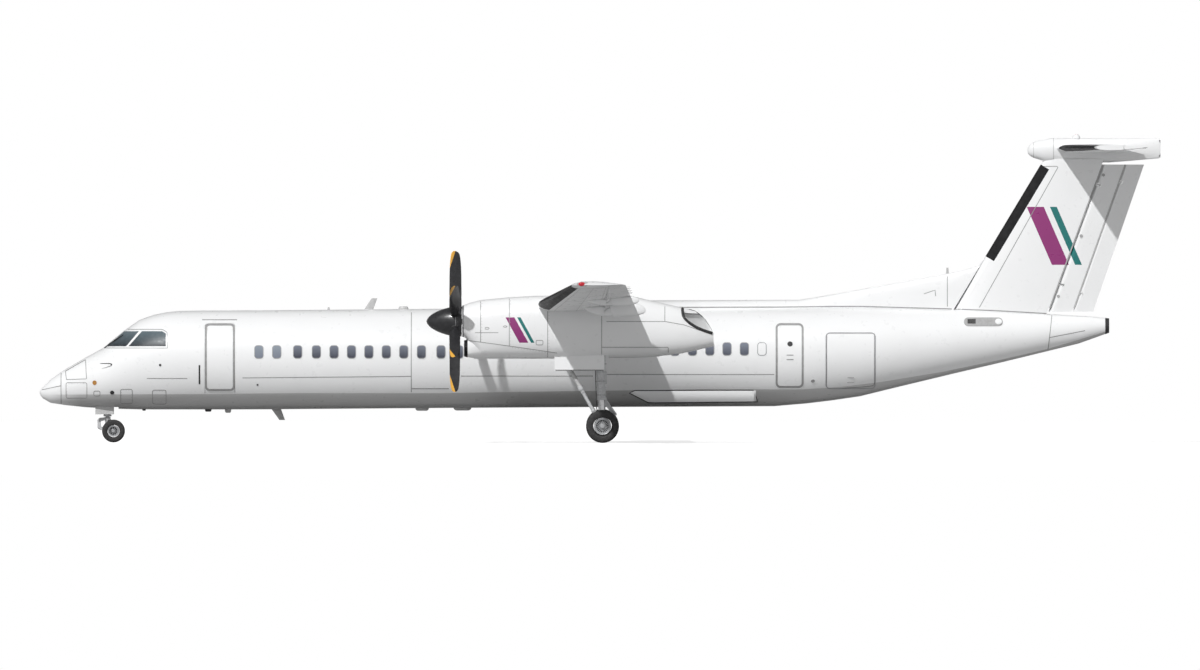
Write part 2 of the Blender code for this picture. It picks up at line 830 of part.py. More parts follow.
def build_crown(hull):
    """Wing fairing and dorsal fin, fitted over the fuselage and round the wing."""
    gap = SEAT_GAP / 2
    wing_cut = centre_cut(1.6)
    hull_cut = skin(-SEAT_GAP, -6.0, 13.0)
    carve(hull, wing_cut)
    fairing = make("wing_fairing", ridge_body(RIDGE[0][0], RIDGE_SPLIT_X - gap), "white_paint")
    carve(fairing, hull_cut)
    carve(fairing, wing_cut)
    dorsal = make("dorsal_fin", ridge_body(RIDGE_SPLIT_X + gap, RIDGE[-1][0]), "white_paint")
    carve(dorsal, hull_cut)
    behind = [
        (line_x(FIN_LE, 3.0) - SEAT_GAP, 3.0),
        (line_x(FIN_LE, 6.0) - SEAT_GAP, 6.0),
        (14.0, 6.0),
        (14.0, 3.0),
    ]
    carve(dorsal, prism(behind, -1, 1))


def build_fin():
    """Fin, two-piece rudder and the bullet on top."""
    nose = 0.030
    rings = []
    for z in (FIN_BOTTOM_Z, FIN_TOP_Z + 0.1):
        radius = hinge_height(
            line_x(FIN_LE, z),
            line_x(FIN_TE, z),
            0.115,
            (line_x(RUDDER_HINGE, z) - line_x(FIN_LE, z)) / (line_x(FIN_TE, z) - line_x(FIN_LE, z)),
            flat=True,
        )[1]
        rear = line_x(RUDDER_HINGE, z) - radius - nose
        rings.append(fin_ring(z, line_x(FIN_LE, z), rear, False))
    fin = make("fin", loft(rings), "white_paint")
    carve(fin, skin(-SEAT_GAP, 8.0, 14.9))
    carve(fin, body(BULLET, BULLET[0][0], BULLET[-1][0], -SEAT_GAP, 0, 16))
    carve(fin, box(9, 17, -1, 1, 8.35, 9.5))

    z0 = RUDDER_BOTTOM_Z
    z1 = RUDDER_TOP_Z
    rings = []
    for z in (z0, z1):
        front = line_x(TAB_HINGE, z)
        le = line_x(FIN_LE, z)
        te = line_x(FIN_TE, z)
        radius = hinge_height(le, te, 0.115, (front - le) / (te - le), flat=True)[1]
        rings.append(fin_ring(z, line_x(RUDDER_HINGE, z), front - radius - nose, True))
    start = (line_x(RUDDER_HINGE, z0), 0, z0)
    end = (line_x(RUDDER_HINGE, z1), 0, z1)
    rudder = make("rudder", loft(rings), "white_paint", start)
    hang(fin, rudder, start, end, (0.18, 0.86), (-1, 0, 0), 0.30, 0.034, 0.014)

    rings = [fin_ring(z, line_x(TAB_HINGE, z), line_x(FIN_TE, z), True) for z in (z0, z1)]
    start = (line_x(TAB_HINGE, z0), 0, z0)
    end = (line_x(TAB_HINGE, z1), 0, z1)
    tab = make("rudder_trailing", loft(rings), "white_paint", start)
    hang(rudder, tab, start, end, (0.12, 0.88), (-1, 0, 0), 0.22, 0.026, 0.010)


def build_tailplane():
    """Tailplane through the bullet, with an elevator each side."""
    bullet = make("tail_bullet", body(BULLET, BULLET[0][0], BULLET[-1][0], 0, 0, 16), "white_paint")
    places = ((TAIL_HALF_SPAN, -1), (0.23, -1), (0.23, 1), (TAIL_HALF_SPAN, 1))
    rings = [tail_ring(y, side, "front") for y, side in places]
    cut_rings = [tail_ring(0.22, side, "front", SEAT_GAP) for side in (-1, 1)]
    carve(bullet, loft(cut_rings))
    lamp = []
    for z, radius in BEACON:
        lamp.append(
            [
                (BEACON_X + radius * math.cos(math.pi * i / 8), radius * math.sin(math.pi * i / 8), z)
                for i in range(16)
            ]
        )
    carve(bullet, loft(lamp), "UNION")
    plane = make("tailplane", loft(rings), "white_paint")
    for name, side in (("left", -1), ("right", 1)):
        inner = 0.275
        outer = TAIL_HALF_SPAN - 0.012
        outline = []
        for y in (0.20, TAIL_HALF_SPAN + 0.1):
            le, te, hinge = tail_at(y)
            half = hinge_height(le, te, 0.11, (hinge - le) / (te - le), flat=True)[1]
            outline.append((hinge - half - BAY_FRONT, side * y))
        outline += [(16.5, side * (TAIL_HALF_SPAN + 0.1)), (16.5, side * 0.20)]
        carve(plane, plan_prism(outline, 8.3, 8.9))
        rings = [tail_ring(y, side, "rear") for y in (inner, outer)]
        start = (tail_at(inner)[2], side * inner, TAIL_Z)
        end = (tail_at(outer)[2], side * outer, TAIL_Z)
        elevator = make(f"elevator_{name}", loft(rings), "white_paint", start)
        hang(plane, elevator, start, end, (0.12, 0.88), (-1, 0, 0), 0.13, 0.022, 0.009)


def build_wing():
    """Centre wing, outer wings, flaps and ailerons."""
    gap = SEAT_GAP / 2
    centre = make(
        "wing_centre",
        loft([wing_ring(WING_BREAK_Y - gap, side) for side in (-1, 1)]),
        "white_paint",
    )
    for label, side in (("left", -1), ("right", 1)):
        rings = [wing_ring(y, side) for y in (WING_BREAK_Y + gap, TIP_Y - 0.35)]
        le, te, z, thick = wing_at(TIP_Y)
        for inset, out, slim in ((0.10, TIP_Y - 0.12, 0.8), (0.34, TIP_Y, 0.35)):
            outline = foil(le + inset, te - inset * 0.5, thick * slim)
            rings.append([(x, side * out, z + h) for x, h in outline])
        outer = make(f"wing_{label}", loft(rings), "white_paint")
        wing_surface(f"flap_inner_{label}", centre, 1.02, 3.72, side, (0.12, 0.88))
        wing_surface(f"flap_outer_{label}", outer, 5.11, 9.90, side, (0.10, 0.90))
        wing_surface(f"aileron_{label}", outer, 9.96, 13.40, side, (0.12, 0.88))


def build_nacelle(label, side):
    """Cowl over a plain engine block, the nacelle behind it and the jet pipe."""
    y = side * NACELLE_Y
    gap = SEAT_GAP / 2
    power = 2.4
    count = NACELLE_SEGMENTS
    front = NACELLE[0][0]

    cowl = make(
        f"cowl_{label}",
        body(NACELLE, front, COWL_BACK_X - gap, 0, y, count, power),
        "white_paint",
    )
    chin = loft([oval(*row, y, 16, 2.6) for row in CHIN])
    carve(cowl, chin, "UNION")
    cavity = body(NACELLE, -3.70, COWL_BACK_X + 0.2, COWL_SKIN, y, count, power)
    carve(cowl, cavity)
    duct = [(-4.2, 2.970, 2.547, 0.272), (-3.80, 2.985, 2.530, 0.290), (-3.30, 3.000, 2.530, 0.330)]
    carve(cowl, loft([oval(*row, y, 16, 2.6) for row in duct]))
    carve(cowl, tube((-4.3, y, PROP_Z), (-3.5, y, PROP_Z), 0.30, 20))

    wing_cut = centre_cut(5.5)
    nacelle = make(
        f"nacelle_{label}",
        body(NACELLE, COWL_BACK_X + gap, JETPIPE_X - gap, 0, y, count, power),
        "white_paint",
    )
    carve(nacelle, wing_cut)
    bay = box(-1.326, 0.260, y - 0.300, y + 0.300, 2.0, 3.10)
    carve(nacelle, bay)

    engine = make(
        f"engine_{label}",
        box(-3.55, COWL_BACK_X - gap, y - 0.33, y + 0.33, 3.08, 3.92),
        "dark_metal",
        smooth=False,
    )
    carve(engine, tube((-3.66, y, PROP_Z), (-3.50, y, PROP_Z), 0.24, 16), "UNION")
    carve(engine, tube((-3.80, y, PROP_Z), (-3.30, y, PROP_Z), bore_for(SHAFT_RADIUS, 20), 20))

    pipe = make(
        f"jet_pipe_{label}",
        body(NACELLE, JETPIPE_X + gap, NACELLE[-1][0], 0, y, count, power),
        "bare_metal",
    )
    scarf = [(2.433, 3.937), (2.75, 3.86), (3.05, 3.62), (3.312, 3.205), (3.6, 3.205), (3.6, 4.6), (2.433, 4.6)]
    carve(pipe, prism(scarf, y - 1, y + 1))
    low_lip = [(2.41, 4.6), (2.41, 3.93), (2.47, 3.71), (2.68, 3.48), (3.00, 3.32), (3.315, 3.215), (3.6, 3.2), (3.6, 4.6)]
    carve(pipe, prism(low_lip, *sorted((y + side * 0.06, y + side))))
    bore = [
        (2.05, 3.72, 2.98, 0.270),
        (2.45, 3.80, 2.93, 0.300),
        (3.00, 3.78, 2.93, 0.285),
        (3.50, 3.70, 3.00, 0.250),
    ]
    carve(pipe, loft([oval(*row, y, 16, 2.2) for row in bore]))
    return nacelle


def blade_shape(y, turn):
    """One propeller blade at an angle round the hub, near feather."""
    stations_out = [
        (0.25, 0.085, 0.085, 0.0),
        (0.45, 0.090, 0.075, 4.0),
        (0.70, 0.155, 0.040, 9.0),
        (1.45, 0.162, 0.020, 20.0),
        (1.96, 0.130, 0.012, 25.0),
        (PROP_RADIUS, 0.080, 0.007, 26.0),
    ]
    rings = []
    for out, half_chord, half_thick, twist in stations_out:
        ring = []
        angle = math.radians(twist)
        for i in range(8):
            a = 2 * math.pi * i / 8
            along = half_chord * math.cos(a)
            across = half_thick * math.sin(a)
            x = PROP_X + along * math.cos(angle) - across * math.sin(angle)
            side = along * math.sin(angle) + across * math.cos(angle)
            u = side * math.cos(turn) + out * math.sin(turn)
            w = -side * math.sin(turn) + out * math.cos(turn)
            ring.append((x, y + u, PROP_Z + w))
        rings.append(ring)
    return loft(rings)


def build_propeller(label, side):
    """Spinner, six blades and the shaft that runs in the engine's gearbox."""
    y = side * NACELLE_Y
    rings = []
    for x, radius in SPINNER:
        rings.append(
            [
                (x, y + radius * math.sin(2 * math.pi * i / 20), PROP_Z + radius * math.cos(2 * math.pi * i / 20))
                for i in range(20)
            ]
        )
    propeller = make(f"propeller_{label}", loft(rings), "dark_composite", (PROP_X, y, PROP_Z))
    blades = [blade_shape(y, 2 * math.pi * i / BLADES) for i in range(BLADES)]
    carve(propeller, combine(*blades), "UNION")
    shaft = tube((-4.20, y, PROP_Z), (-3.32, y, PROP_Z), SHAFT_RADIUS, 20, turn=0)
    carve(propeller, shaft, "UNION")


def tyre_profile(radius, seat, half):
    """Section of a tyre as (sideways, radius)."""
    return [
        (-half * 0.86, seat),
        (-half, seat + (radius - seat) * 0.45),
        (-half * 0.80, seat + (radius - seat) * 0.86),
        (-half * 0.42, radius),
        (half * 0.42, radius),
        (half * 0.80, seat + (radius - seat) * 0.86),
        (half, seat + (radius - seat) * 0.45),
        (half * 0.86, seat),
    ]


def wheel_pair(x, y, z, seat, half, offset, axle, name):
    """Two wheels on one axle, and their tyres."""
    hub = axle * 1.8
    edge = offset - half * 0.86
    inner = [(edge, axle), (edge, seat)]
    outer = [
        (offset + half * 0.86, seat),
        (offset + half * 0.86, seat * 0.80),
        (offset + half * 0.30, seat * 0.72),
        (offset + half * 0.30, hub),
        (offset + half * 0.75, hub * 0.7),
        (offset + half * 0.75, 0.0005),
    ]
    right = inner + outer
    profile = [(-u, r) for u, r in right[::-1]] + right
    sides = 20
    rings = []
    for across, radius in profile:
        ring = []
        for i in range(sides):
            angle = 2 * math.pi * i / sides
            ring.append((x + radius * math.sin(angle), y + across, z - radius * math.cos(angle)))
        rings.append(ring)
    make(name, loft(rings), "gear_paint", (x, y, z))


def build_tyres(label, x, y, z, size, offset, origin):
    """A tyre on each wheel of a pair."""
    radius, seat, half = size
    for place, sign in (("a", -1), ("b", 1)):
        shape = turned_y(tyre_profile(radius, seat + SEAT_GAP, half), x, y + sign * offset, z, 20)
        make(f"{label}_tyre_{place}", shape, "tyre_rubber", origin)


def build_main_gear(label, side):
    """Leg, drag brace, doors, wheels and tyres under a nacelle."""
    y = side * NACELLE_Y
    bay = 0.300
    leg = make(
        f"main_leg_{label}",
        tube((MAIN_X, y, 0.36), (MAIN_X - 0.08, y, 3.094), 0.085, 16, 0.115),
        "gear_paint",
    )
    sleeve = tube((MAIN_X - 0.03, y, 1.28), (MAIN_X - 0.08, y, 2.95), 0.125, 16, 0.165)
    carve(leg, sleeve, "UNION")
    trunnion = tube((MAIN_X - 0.08, y - bay + SEAT_GAP, 2.80), (MAIN_X - 0.08, y + bay - SEAT_GAP, 2.80), 0.075, 12)
    carve(leg, trunnion, "UNION")
    barrel = tube((MAIN_X, y - 0.100, MAIN_Z), (MAIN_X, y + 0.100, MAIN_Z), 0.105, 16)
    carve(leg, barrel, "UNION")
    link = [(0.06, 1.30), (0.20, 1.25), (0.47, 0.86), (0.41, 0.80), (0.06, 0.72), (0.06, 0.80), (0.33, 0.87), (0.15, 1.10), (0.06, 1.12)]
    carve(leg, prism(link, y - 0.045, y + 0.045), "UNION")
    carve(leg, tube((MAIN_X, y - 0.2, MAIN_Z), (MAIN_X, y + 0.2, MAIN_Z), bore_for(0.050, 20), 20))

    brace = make(
        f"drag_brace_{label}",
        tube((-1.23, y, 2.80), (-0.120, y, 0.80), 0.050, 12),
        "gear_paint",
    )
    cross = tube((-1.23, y - bay + SEAT_GAP, 2.80), (-1.23, y + bay - SEAT_GAP, 2.80), 0.065, 12)
    carve(brace, cross, "UNION")
    foot = box(-0.20, 0.02, y - 0.035, y + 0.035, 0.78, 0.93)
    carve(brace, foot, "UNION")
    carve(brace, tube((MAIN_X, y, 0.36), (MAIN_X - 0.08, y, 3.094), 0.0855, 16, 0.1155))

    for place, sign in (("inner", -side), ("outer", side)):
        edge = y + sign * bay
        limits = sorted((edge - sign * SEAT_GAP, edge - sign * 0.020))
        make(
            f"main_door_{place}_{label}",
            box(-1.320, 0.130, *limits, 2.106, 2.660),
            "white_paint",
            smooth=False,
        )
    wheel_pair(MAIN_X, y, MAIN_Z, MAIN_TYRE[1], MAIN_TYRE[2], MAIN_OFFSET, 0.050, f"main_wheels_{label}")
    build_tyres(f"main_{label}", MAIN_X, y, MAIN_Z, MAIN_TYRE, MAIN_OFFSET, (MAIN_X, y, MAIN_Z))


def build_nose_gear(hull):
    """Nose leg, steered fork, doors, wheels and tyres."""
    bay = 0.270
    ceiling = 1.60
    carve(hull, box(-14.783, -14.100, -bay, bay, 0.5, ceiling))
    leg = make(
        "nose_leg",
        tube((STRUT_X, 0, 0.760), (STRUT_X, 0, ceiling - SEAT_GAP), 0.100, 20),
        "gear_paint",
    )
    trunnion = tube((STRUT_X, -bay + SEAT_GAP, 1.36), (STRUT_X, bay - SEAT_GAP, 1.36), 0.060, 12)
    carve(leg, trunnion, "UNION")
    carve(leg, tube((STRUT_X, 0, 0.60), (STRUT_X, 0, 1.20), bore_for(0.060, 20), 20))

    fork = make(
        "nose_fork",
        tube((STRUT_X, 0, 0.420), (STRUT_X, 0, 1.190), 0.060, 20, turn=0),
        "gear_paint",
        (STRUT_X, 0, 0.75),
    )
    arm = [(-14.50, 0.74), (-14.36, 0.74), (-14.18, 0.40), (-14.19, 0.27), (-14.29, 0.26), (-14.50, 0.40)]
    carve(fork, prism(arm, -0.055, 0.055), "UNION")
    link = [(-14.46, 0.74), (-14.66, 0.72), (-14.72, 0.66), (-14.72, 0.42), (-14.62, 0.35), (-14.44, 0.45), (-14.44, 0.52), (-14.60, 0.45), (-14.62, 0.62), (-14.46, 0.66)]
    carve(fork, prism(link, -0.040, 0.040), "UNION")
    carve(fork, tube((NOSE_X, -0.2, NOSE_Z), (NOSE_X, 0.2, NOSE_Z), bore_for(0.035, 20), 20))

    for label, sign in (("left", -1), ("right", 1)):
        limits = sorted((sign * (bay - SEAT_GAP), sign * (bay - 0.018)))
        make(
            f"nose_door_{label}",
            box(-14.778, -14.241, *limits, 0.823, 1.200),
            "white_paint",
            smooth=False,
        )
    wheel_pair(NOSE_X, 0, NOSE_Z, NOSE_TYRE[1], NOSE_TYRE[2], NOSE_OFFSET, 0.035, "nose_wheels")
    build_tyres("nose", NOSE_X, 0, NOSE_Z, NOSE_TYRE, NOSE_OFFSET, (NOSE_X, 0, NOSE_Z))


def main():
    clear_scene()
    hull = build_fuselage()
    build_glazing(hull)
    build_passenger_door(hull)
    build_baggage_door(hull)
    build_aft_door(hull)
    build_nose_gear(hull)
    build_crown(hull)
    build_wing()
    build_fin()
    build_tailplane()
    for label, side in (("left", -1), ("right", 1)):
        build_nacelle(label, side)
        build_propeller(label, side)
        build_main_gear(label, side)


main()
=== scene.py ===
"""Turboprop airliner parked on its gear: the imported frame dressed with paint, glass and fittings.

Metres, in the frame's own axes: nose towards -X, left side towards -Y, ground at Z 0.
"""

import json
import math

import bmesh
import bpy
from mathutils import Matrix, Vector
from mathutils.bvhtree import BVHTree


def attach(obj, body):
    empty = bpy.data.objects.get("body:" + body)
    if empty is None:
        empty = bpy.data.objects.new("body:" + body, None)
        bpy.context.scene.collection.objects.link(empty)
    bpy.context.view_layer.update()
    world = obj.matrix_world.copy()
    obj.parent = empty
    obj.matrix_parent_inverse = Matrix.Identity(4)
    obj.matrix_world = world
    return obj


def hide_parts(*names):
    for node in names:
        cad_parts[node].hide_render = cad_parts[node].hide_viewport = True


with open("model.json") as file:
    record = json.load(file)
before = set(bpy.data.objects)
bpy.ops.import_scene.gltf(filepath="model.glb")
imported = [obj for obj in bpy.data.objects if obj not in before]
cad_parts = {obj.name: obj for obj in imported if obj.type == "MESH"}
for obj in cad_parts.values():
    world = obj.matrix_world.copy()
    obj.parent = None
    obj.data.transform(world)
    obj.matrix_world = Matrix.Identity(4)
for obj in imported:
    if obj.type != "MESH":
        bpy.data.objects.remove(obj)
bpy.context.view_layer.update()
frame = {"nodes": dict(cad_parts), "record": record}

# Fuselage stations: x, crown height, keel height, half width
HULL = [
    (-16.415, 1.459, 1.457, 0.001), (-16.385, 1.535, 1.370, 0.080), (-16.315, 1.617, 1.286, 0.150),
    (-16.093, 1.840, 1.157, 0.300), (-15.779, 2.062, 1.110, 0.440), (-15.645, 2.153, 1.090, 0.490),
    (-15.085, 2.475, 1.031, 0.680), (-14.546, 2.771, 0.999, 0.850), (-13.940, 3.275, 0.978, 1.000),
    (-13.491, 3.589, 0.967, 1.100), (-13.087, 3.732, 0.964, 1.180), (-12.686, 3.814, 0.964, 1.240),
    (-12.326, 3.849, 0.964, 1.280), (-11.716, 3.861, 0.964, 1.325), (-10.837, 3.864, 0.964, 1.345),
    (-9.959, 3.867, 0.967, 1.345), (-4.627, 3.914, 1.008, 1.345), (0.001, 3.931, 1.037, 1.345),
    (5.099, 3.949, 1.060, 1.345), (6.065, 3.958, 1.142, 1.330), (6.798, 3.969, 1.230, 1.290),
    (7.618, 3.969, 1.350, 1.220), (8.614, 3.943, 1.594, 1.100), (10.401, 3.893, 2.024, 0.870),
    (11.719, 3.838, 2.332, 0.690), (13.184, 3.756, 2.689, 0.500), (14.019, 3.709, 2.894, 0.370),
    (14.400, 3.688, 3.029, 0.300), (14.912, 3.630, 3.214, 0.190),
]
# Nacelle stations: x, top height, bottom height, half width
NACELLE = [
    (-4.012, 3.996, 3.102, 0.447), (-3.920, 4.035, 3.060, 0.490), (-3.807, 4.078, 2.900, 0.530),
    (-3.485, 4.163, 2.455, 0.590), (-2.635, 4.245, 2.455, 0.620), (-1.873, 4.286, 2.455, 0.630),
    (-1.463, 4.290, 2.455, 0.630), (0.001, 4.303, 2.478, 0.630), (0.851, 4.300, 2.478, 0.600),
    (1.466, 4.154, 2.502, 0.550), (1.935, 4.048, 2.552, 0.500), (2.433, 3.934, 2.616, 0.440),
    (3.312, 3.700, 2.818, 0.330),
]
# Nose shell of the tail bullet: x, top height, bottom height, half width
BULLET_NOSE = [
    (12.530, 8.600, 8.510, 0.030), (12.552, 8.665, 8.448, 0.070), (12.585, 8.707, 8.410, 0.100),
    (12.619, 8.739, 8.381, 0.125), (12.701, 8.787, 8.339, 0.155), (12.843, 8.839, 8.291, 0.180),
    (12.963, 8.863, 8.254, 0.192), (13.142, 8.895, 8.216, 0.203), (13.290, 8.914, 8.208, 0.2035),
]
# Height of the crisp edge of the painted shade on the belly, along the fuselage
BELLY_SHADE_EDGE = [
    (-16.4, 1.400), (-11.7, 1.418), (-8.8, 1.447), (-4.7, 1.447), (-1.8, 1.491), (2.9, 1.556), (5.9, 1.556),
    (7.0, 1.623), (8.2, 1.769), (10.0, 2.062), (11.7, 2.414), (13.1, 2.736), (15.0, 3.30),
]
# Propeller blade stations: distance out, half chord, half thickness, twist in degrees
BLADE = [
    (0.30, 0.085, 0.085, 0.0), (0.45, 0.090, 0.075, 4.0), (0.70, 0.155, 0.040, 9.0), (1.10, 0.160, 0.027, 15.0),
    (1.45, 0.160, 0.020, 20.0), (1.75, 0.146, 0.015, 23.0), (1.96, 0.115, 0.011, 25.0), (2.035, 0.070, 0.008, 26.0),
    (2.054, 0.030, 0.005, 26.0),
]
# Raked rims of the exhaust in side view, and the radius of the lip that follows each
EXHAUST_RIMS = {
    "outer": ([(2.405, 3.915), (2.430, 3.70), (2.56, 3.540), (2.78, 3.388), (3.00, 3.290), (3.270, 3.200)], 0.042),
    "inner": ([(2.440, 3.905), (2.75, 3.850), (3.05, 3.610), (3.295, 3.215)], 0.012),
}
CABIN_WINDOWS = [
    -9.976, -9.455, -8.842, -8.295, -7.779, -7.269, -6.760, -6.250, -5.740, -5.222, -4.650,
    -4.13, -3.61, -3.09, -2.57, -2.05, -1.53, -1.01, 1.15, 1.67, 2.19, 2.702, 3.212, 3.716, 4.223,
]
# How far out the nacelles stand, and the place of the propellers' centres
NACELLE_Y, PROP_X, PROP_Z = 4.400, -4.232, 3.542
# Radius at which a turned outline starts, just off its axis
AXIS = 0.0005
SIDES = (("left", -1), ("right", 1))
# The two wheels of a pair, and the side of the leg that each is on
PAIR = (("a", -1), ("b", 1))
UP = Vector((0, 0, 1))
WHITE = (0.86, 0.865, 0.87)
PURPLE = (0.270, 0.030, 0.170)
TEAL = (0.010, 0.170, 0.160)
# The layout of a tree that makes one thing
ONE_POINT = ([(0, 0, 0)], [])
# Every finish by its plain name, filled in by mix_the_finishes
FINISHES = {}


# ---------------------------------------------------------------- steps of finishes and of node trees

class Steps:
    """Steps of a node tree, fed with plain values, with other steps or with one of their outputs."""

    def __init__(self, tree):
        self.tree = tree

    def feed(self, socket, value):
        if isinstance(value, bpy.types.Node):
            value = value.outputs[0]
        if isinstance(value, bpy.types.NodeSocket):
            self.tree.links.new(value, socket)
        elif socket.type == "RGBA":
            socket.default_value = (*(value if isinstance(value, tuple) else (value,) * 3), 1)
        else:
            socket.default_value = value

    def step(self, kind, *values, **named):
        """A step with its inputs fed in order or by name; names in lower case are its settings."""
        node = self.tree.nodes.new(kind)
        for key, value in named.items():
            if key.islower():
                setattr(node, key, value)
        for socket, value in zip(node.inputs, values):
            self.feed(socket, value)
        for key, value in named.items():
            if not key.islower():
                self.feed(node.inputs[key.replace("_", " ")], value)
        return node

    def calc(self, operation, *values):
        return self.step("ShaderNodeMath", *values, operation=operation)

    def times(self, first, second):
        return self.calc("MULTIPLY", first, second)

    def minus(self, first, second):
        return self.calc("SUBTRACT", first, second)


class Finish(Steps):
    """A paint or metal, built up step by step on the piece's own coordinates."""

    def __init__(self, name, colour, rough, metal=0.0, coat=0.0, specular=0.5):
        self.material = bpy.data.materials.new(name)
        self.material.use_nodes = True
        super().__init__(self.material.node_tree)
        self.looks(Base_Color=colour, Roughness=rough, Metallic=metal, Coat_Weight=coat, Specular_IOR_Level=specular)
        self.place = self.step("ShaderNodeTexCoord").outputs["Object"]
        self.x, self.y, self.z = self.step("ShaderNodeSeparateXYZ", self.place).outputs

    def looks(self, **values):
        for key, value in values.items():
            self.feed(self.tree.nodes["Principled BSDF"].inputs[key.replace("_", " ")], value)

    def noise(self, scale, detail=3.0, stretch=(1, 1, 1)):
        """Cloudy variation from 0 to 1, drawn out along an axis by the stretch."""
        placed = self.step("ShaderNodeMapping", Vector=self.place, Scale=stretch)
        return self.step("ShaderNodeTexNoise", Vector=placed, Scale=scale, Detail=detail)

    def spread(self, value, low, high, out_low=0.0, out_high=1.0):
        """Stretch a range of values to another, clamped at both ends."""
        return self.step("ShaderNodeMapRange", value, low, high, out_low, out_high)

    def mix(self, mask, under, over):
        node = self.step("ShaderNodeMix", mask, data_type="RGBA")
        self.feed(node.inputs[6], under)
        self.feed(node.inputs[7], over)
        return node.outputs[2]

    def above(self, value, limit):
        return self.calc("GREATER_THAN", value, limit)

    def inside(self, value, low, high):
        """1 where the value lies between two limits, with crisp edges."""
        return self.times(self.above(value, low), self.calc("LESS_THAN", value, high))

    def band(self, along, low, high, start, stop):
        """Mask for a slanted band, cut off square between two heights."""
        return self.times(self.inside(along, low, high), self.inside(self.z, start, stop))

    def curve(self, value, points):
        """Height of a line drawn through (along, height) points."""
        low, high = points[0][0], points[-1][0]
        node = self.step("ShaderNodeValToRGB", self.spread(value, low, high))
        stops = node.color_ramp.elements
        while len(stops) < len(points):
            stops.new(0.5)
        for stop, (at, _) in zip(stops, points):
            stop.position = (at - low) / (high - low)
        for stop, (_, height) in zip(stops, points):
            stop.color = (height / 10, height / 10, height / 10, 1)
        return self.times(node, 10.0)

    def rough(self, noise, low, high):
        self.looks(Roughness=self.spread(noise, 0.3, 0.7, low, high))

    def relief(self, height, distance, strength):
        """Fine surface relief that adds to the modelled shape."""
        self.looks(Normal=self.step("ShaderNodeBump", Height=height, Distance=distance, Strength=strength))

    def done(self, colour):
        """Give the finish its colour, and hand over its material."""
        self.looks(Base_Color=colour)
        return self.material


def worn_white(name, rough=0.3, coat=0.25):
    """White gloss paint with rain streaks, faint patches and an orange-peel sheen, and its colour so far."""
    paint = Finish(name, WHITE, rough, coat=coat)
    patches = paint.spread(paint.noise(0.7, 4), 0.35, 0.75)
    streaks = paint.spread(paint.noise(3.0, 5, (0.35, 1.0, 0.35)), 0.45, 0.80)
    dirt = paint.times(paint.calc("ADD", patches, streaks), 0.035)
    base = paint.mix(dirt, WHITE, (0.42, 0.41, 0.39))
    paint.rough(paint.noise(5.0, 4), 0.26, 0.38)
    paint.relief(paint.noise(120.0, 2), 0.0006, 0.25)
    return paint, base


def plain_white():
    paint, base = worn_white("white_paint")
    return paint.done(base)


def fuselage_paint():
    """White fuselage paint, with painted shade on the belly below a crisp edge, darker towards the keel."""
    paint, base = worn_white("fuselage_paint")
    depth = paint.minus(paint.curve(paint.x, BELLY_SHADE_EDGE), paint.z)
    # Painted shade: below the edge the belly is darker, and darker still towards the keel
    belly = paint.times(paint.above(depth, 0.0), paint.spread(paint.x, -16.30, -15.20))
    painted_belly_shade = paint.mix(paint.spread(depth, 0.0, 0.45), 0.56, 0.34)
    film = paint.spread(paint.noise(1.4, 5, (0.25, 1, 1)), 0.40, 0.85, 0.0, 0.30)
    return paint.done(paint.mix(belly, base, paint.mix(film, painted_belly_shade, (0.36, 0.355, 0.34))))


def fin_paint():
    """White fin with plain slanted bands in two colours, swept with the hinge line."""
    paint, base = worn_white("fin_paint")
    swept = paint.minus(paint.x, paint.times(paint.z, 0.365))
    wave = paint.times(paint.minus(paint.z, 5.2), 0.80)
    along = paint.calc("ADD", swept, wave)
    base = paint.mix(paint.band(along, 11.34, 11.84, 5.20, 6.90), base, PURPLE)
    return paint.done(paint.mix(paint.band(along, 12.02, 12.22, 5.20, 6.90), base, TEAL))


def nacelle_paint():
    """White cowling with a small pair of slanted bands and soot behind the exhaust."""
    paint, base = worn_white("nacelle_paint")
    slant = paint.calc("ADD", paint.x, paint.times(paint.z, 0.55))
    base = paint.mix(paint.band(slant, -0.74, -0.48, 2.92, 3.66), base, PURPLE)
    base = paint.mix(paint.band(slant, -0.40, -0.30, 2.92, 3.66), base, TEAL)
    soot = paint.times(paint.spread(paint.x, 1.9, 3.3, 0.0, 0.14),
                      paint.spread(paint.noise(2.4, 5, (0.3, 1, 1)), 0.35, 0.75))
    return paint.done(paint.mix(soot, base, (0.16, 0.15, 0.14)))


def wing_paint():
    """White wing with walkway wear and faint oil streaks along the chord."""
    paint, base = worn_white("wing_paint", 0.34, 0.15)
    streak = paint.spread(paint.noise(2.0, 5, (0.15, 1.6, 1)), 0.50, 0.85, 0.0, 0.20)
    return paint.done(paint.mix(streak, base, (0.35, 0.34, 0.32)))


def boot_rubber():
    """Black de-icing boot of matt, dusty rubber."""
    paint = Finish("boot_rubber", (0.018, 0.018, 0.020), 0.5, specular=0.15)
    dust = paint.spread(paint.noise(6.0, 5), 0.40, 0.80, 0.0, 0.5)
    paint.rough(paint.noise(9.0, 3), 0.42, 0.62)
    paint.relief(paint.noise(90.0, 2), 0.0008, 0.4)
    return paint.done(paint.mix(dust, (0.009, 0.009, 0.010), (0.030, 0.030, 0.032)))


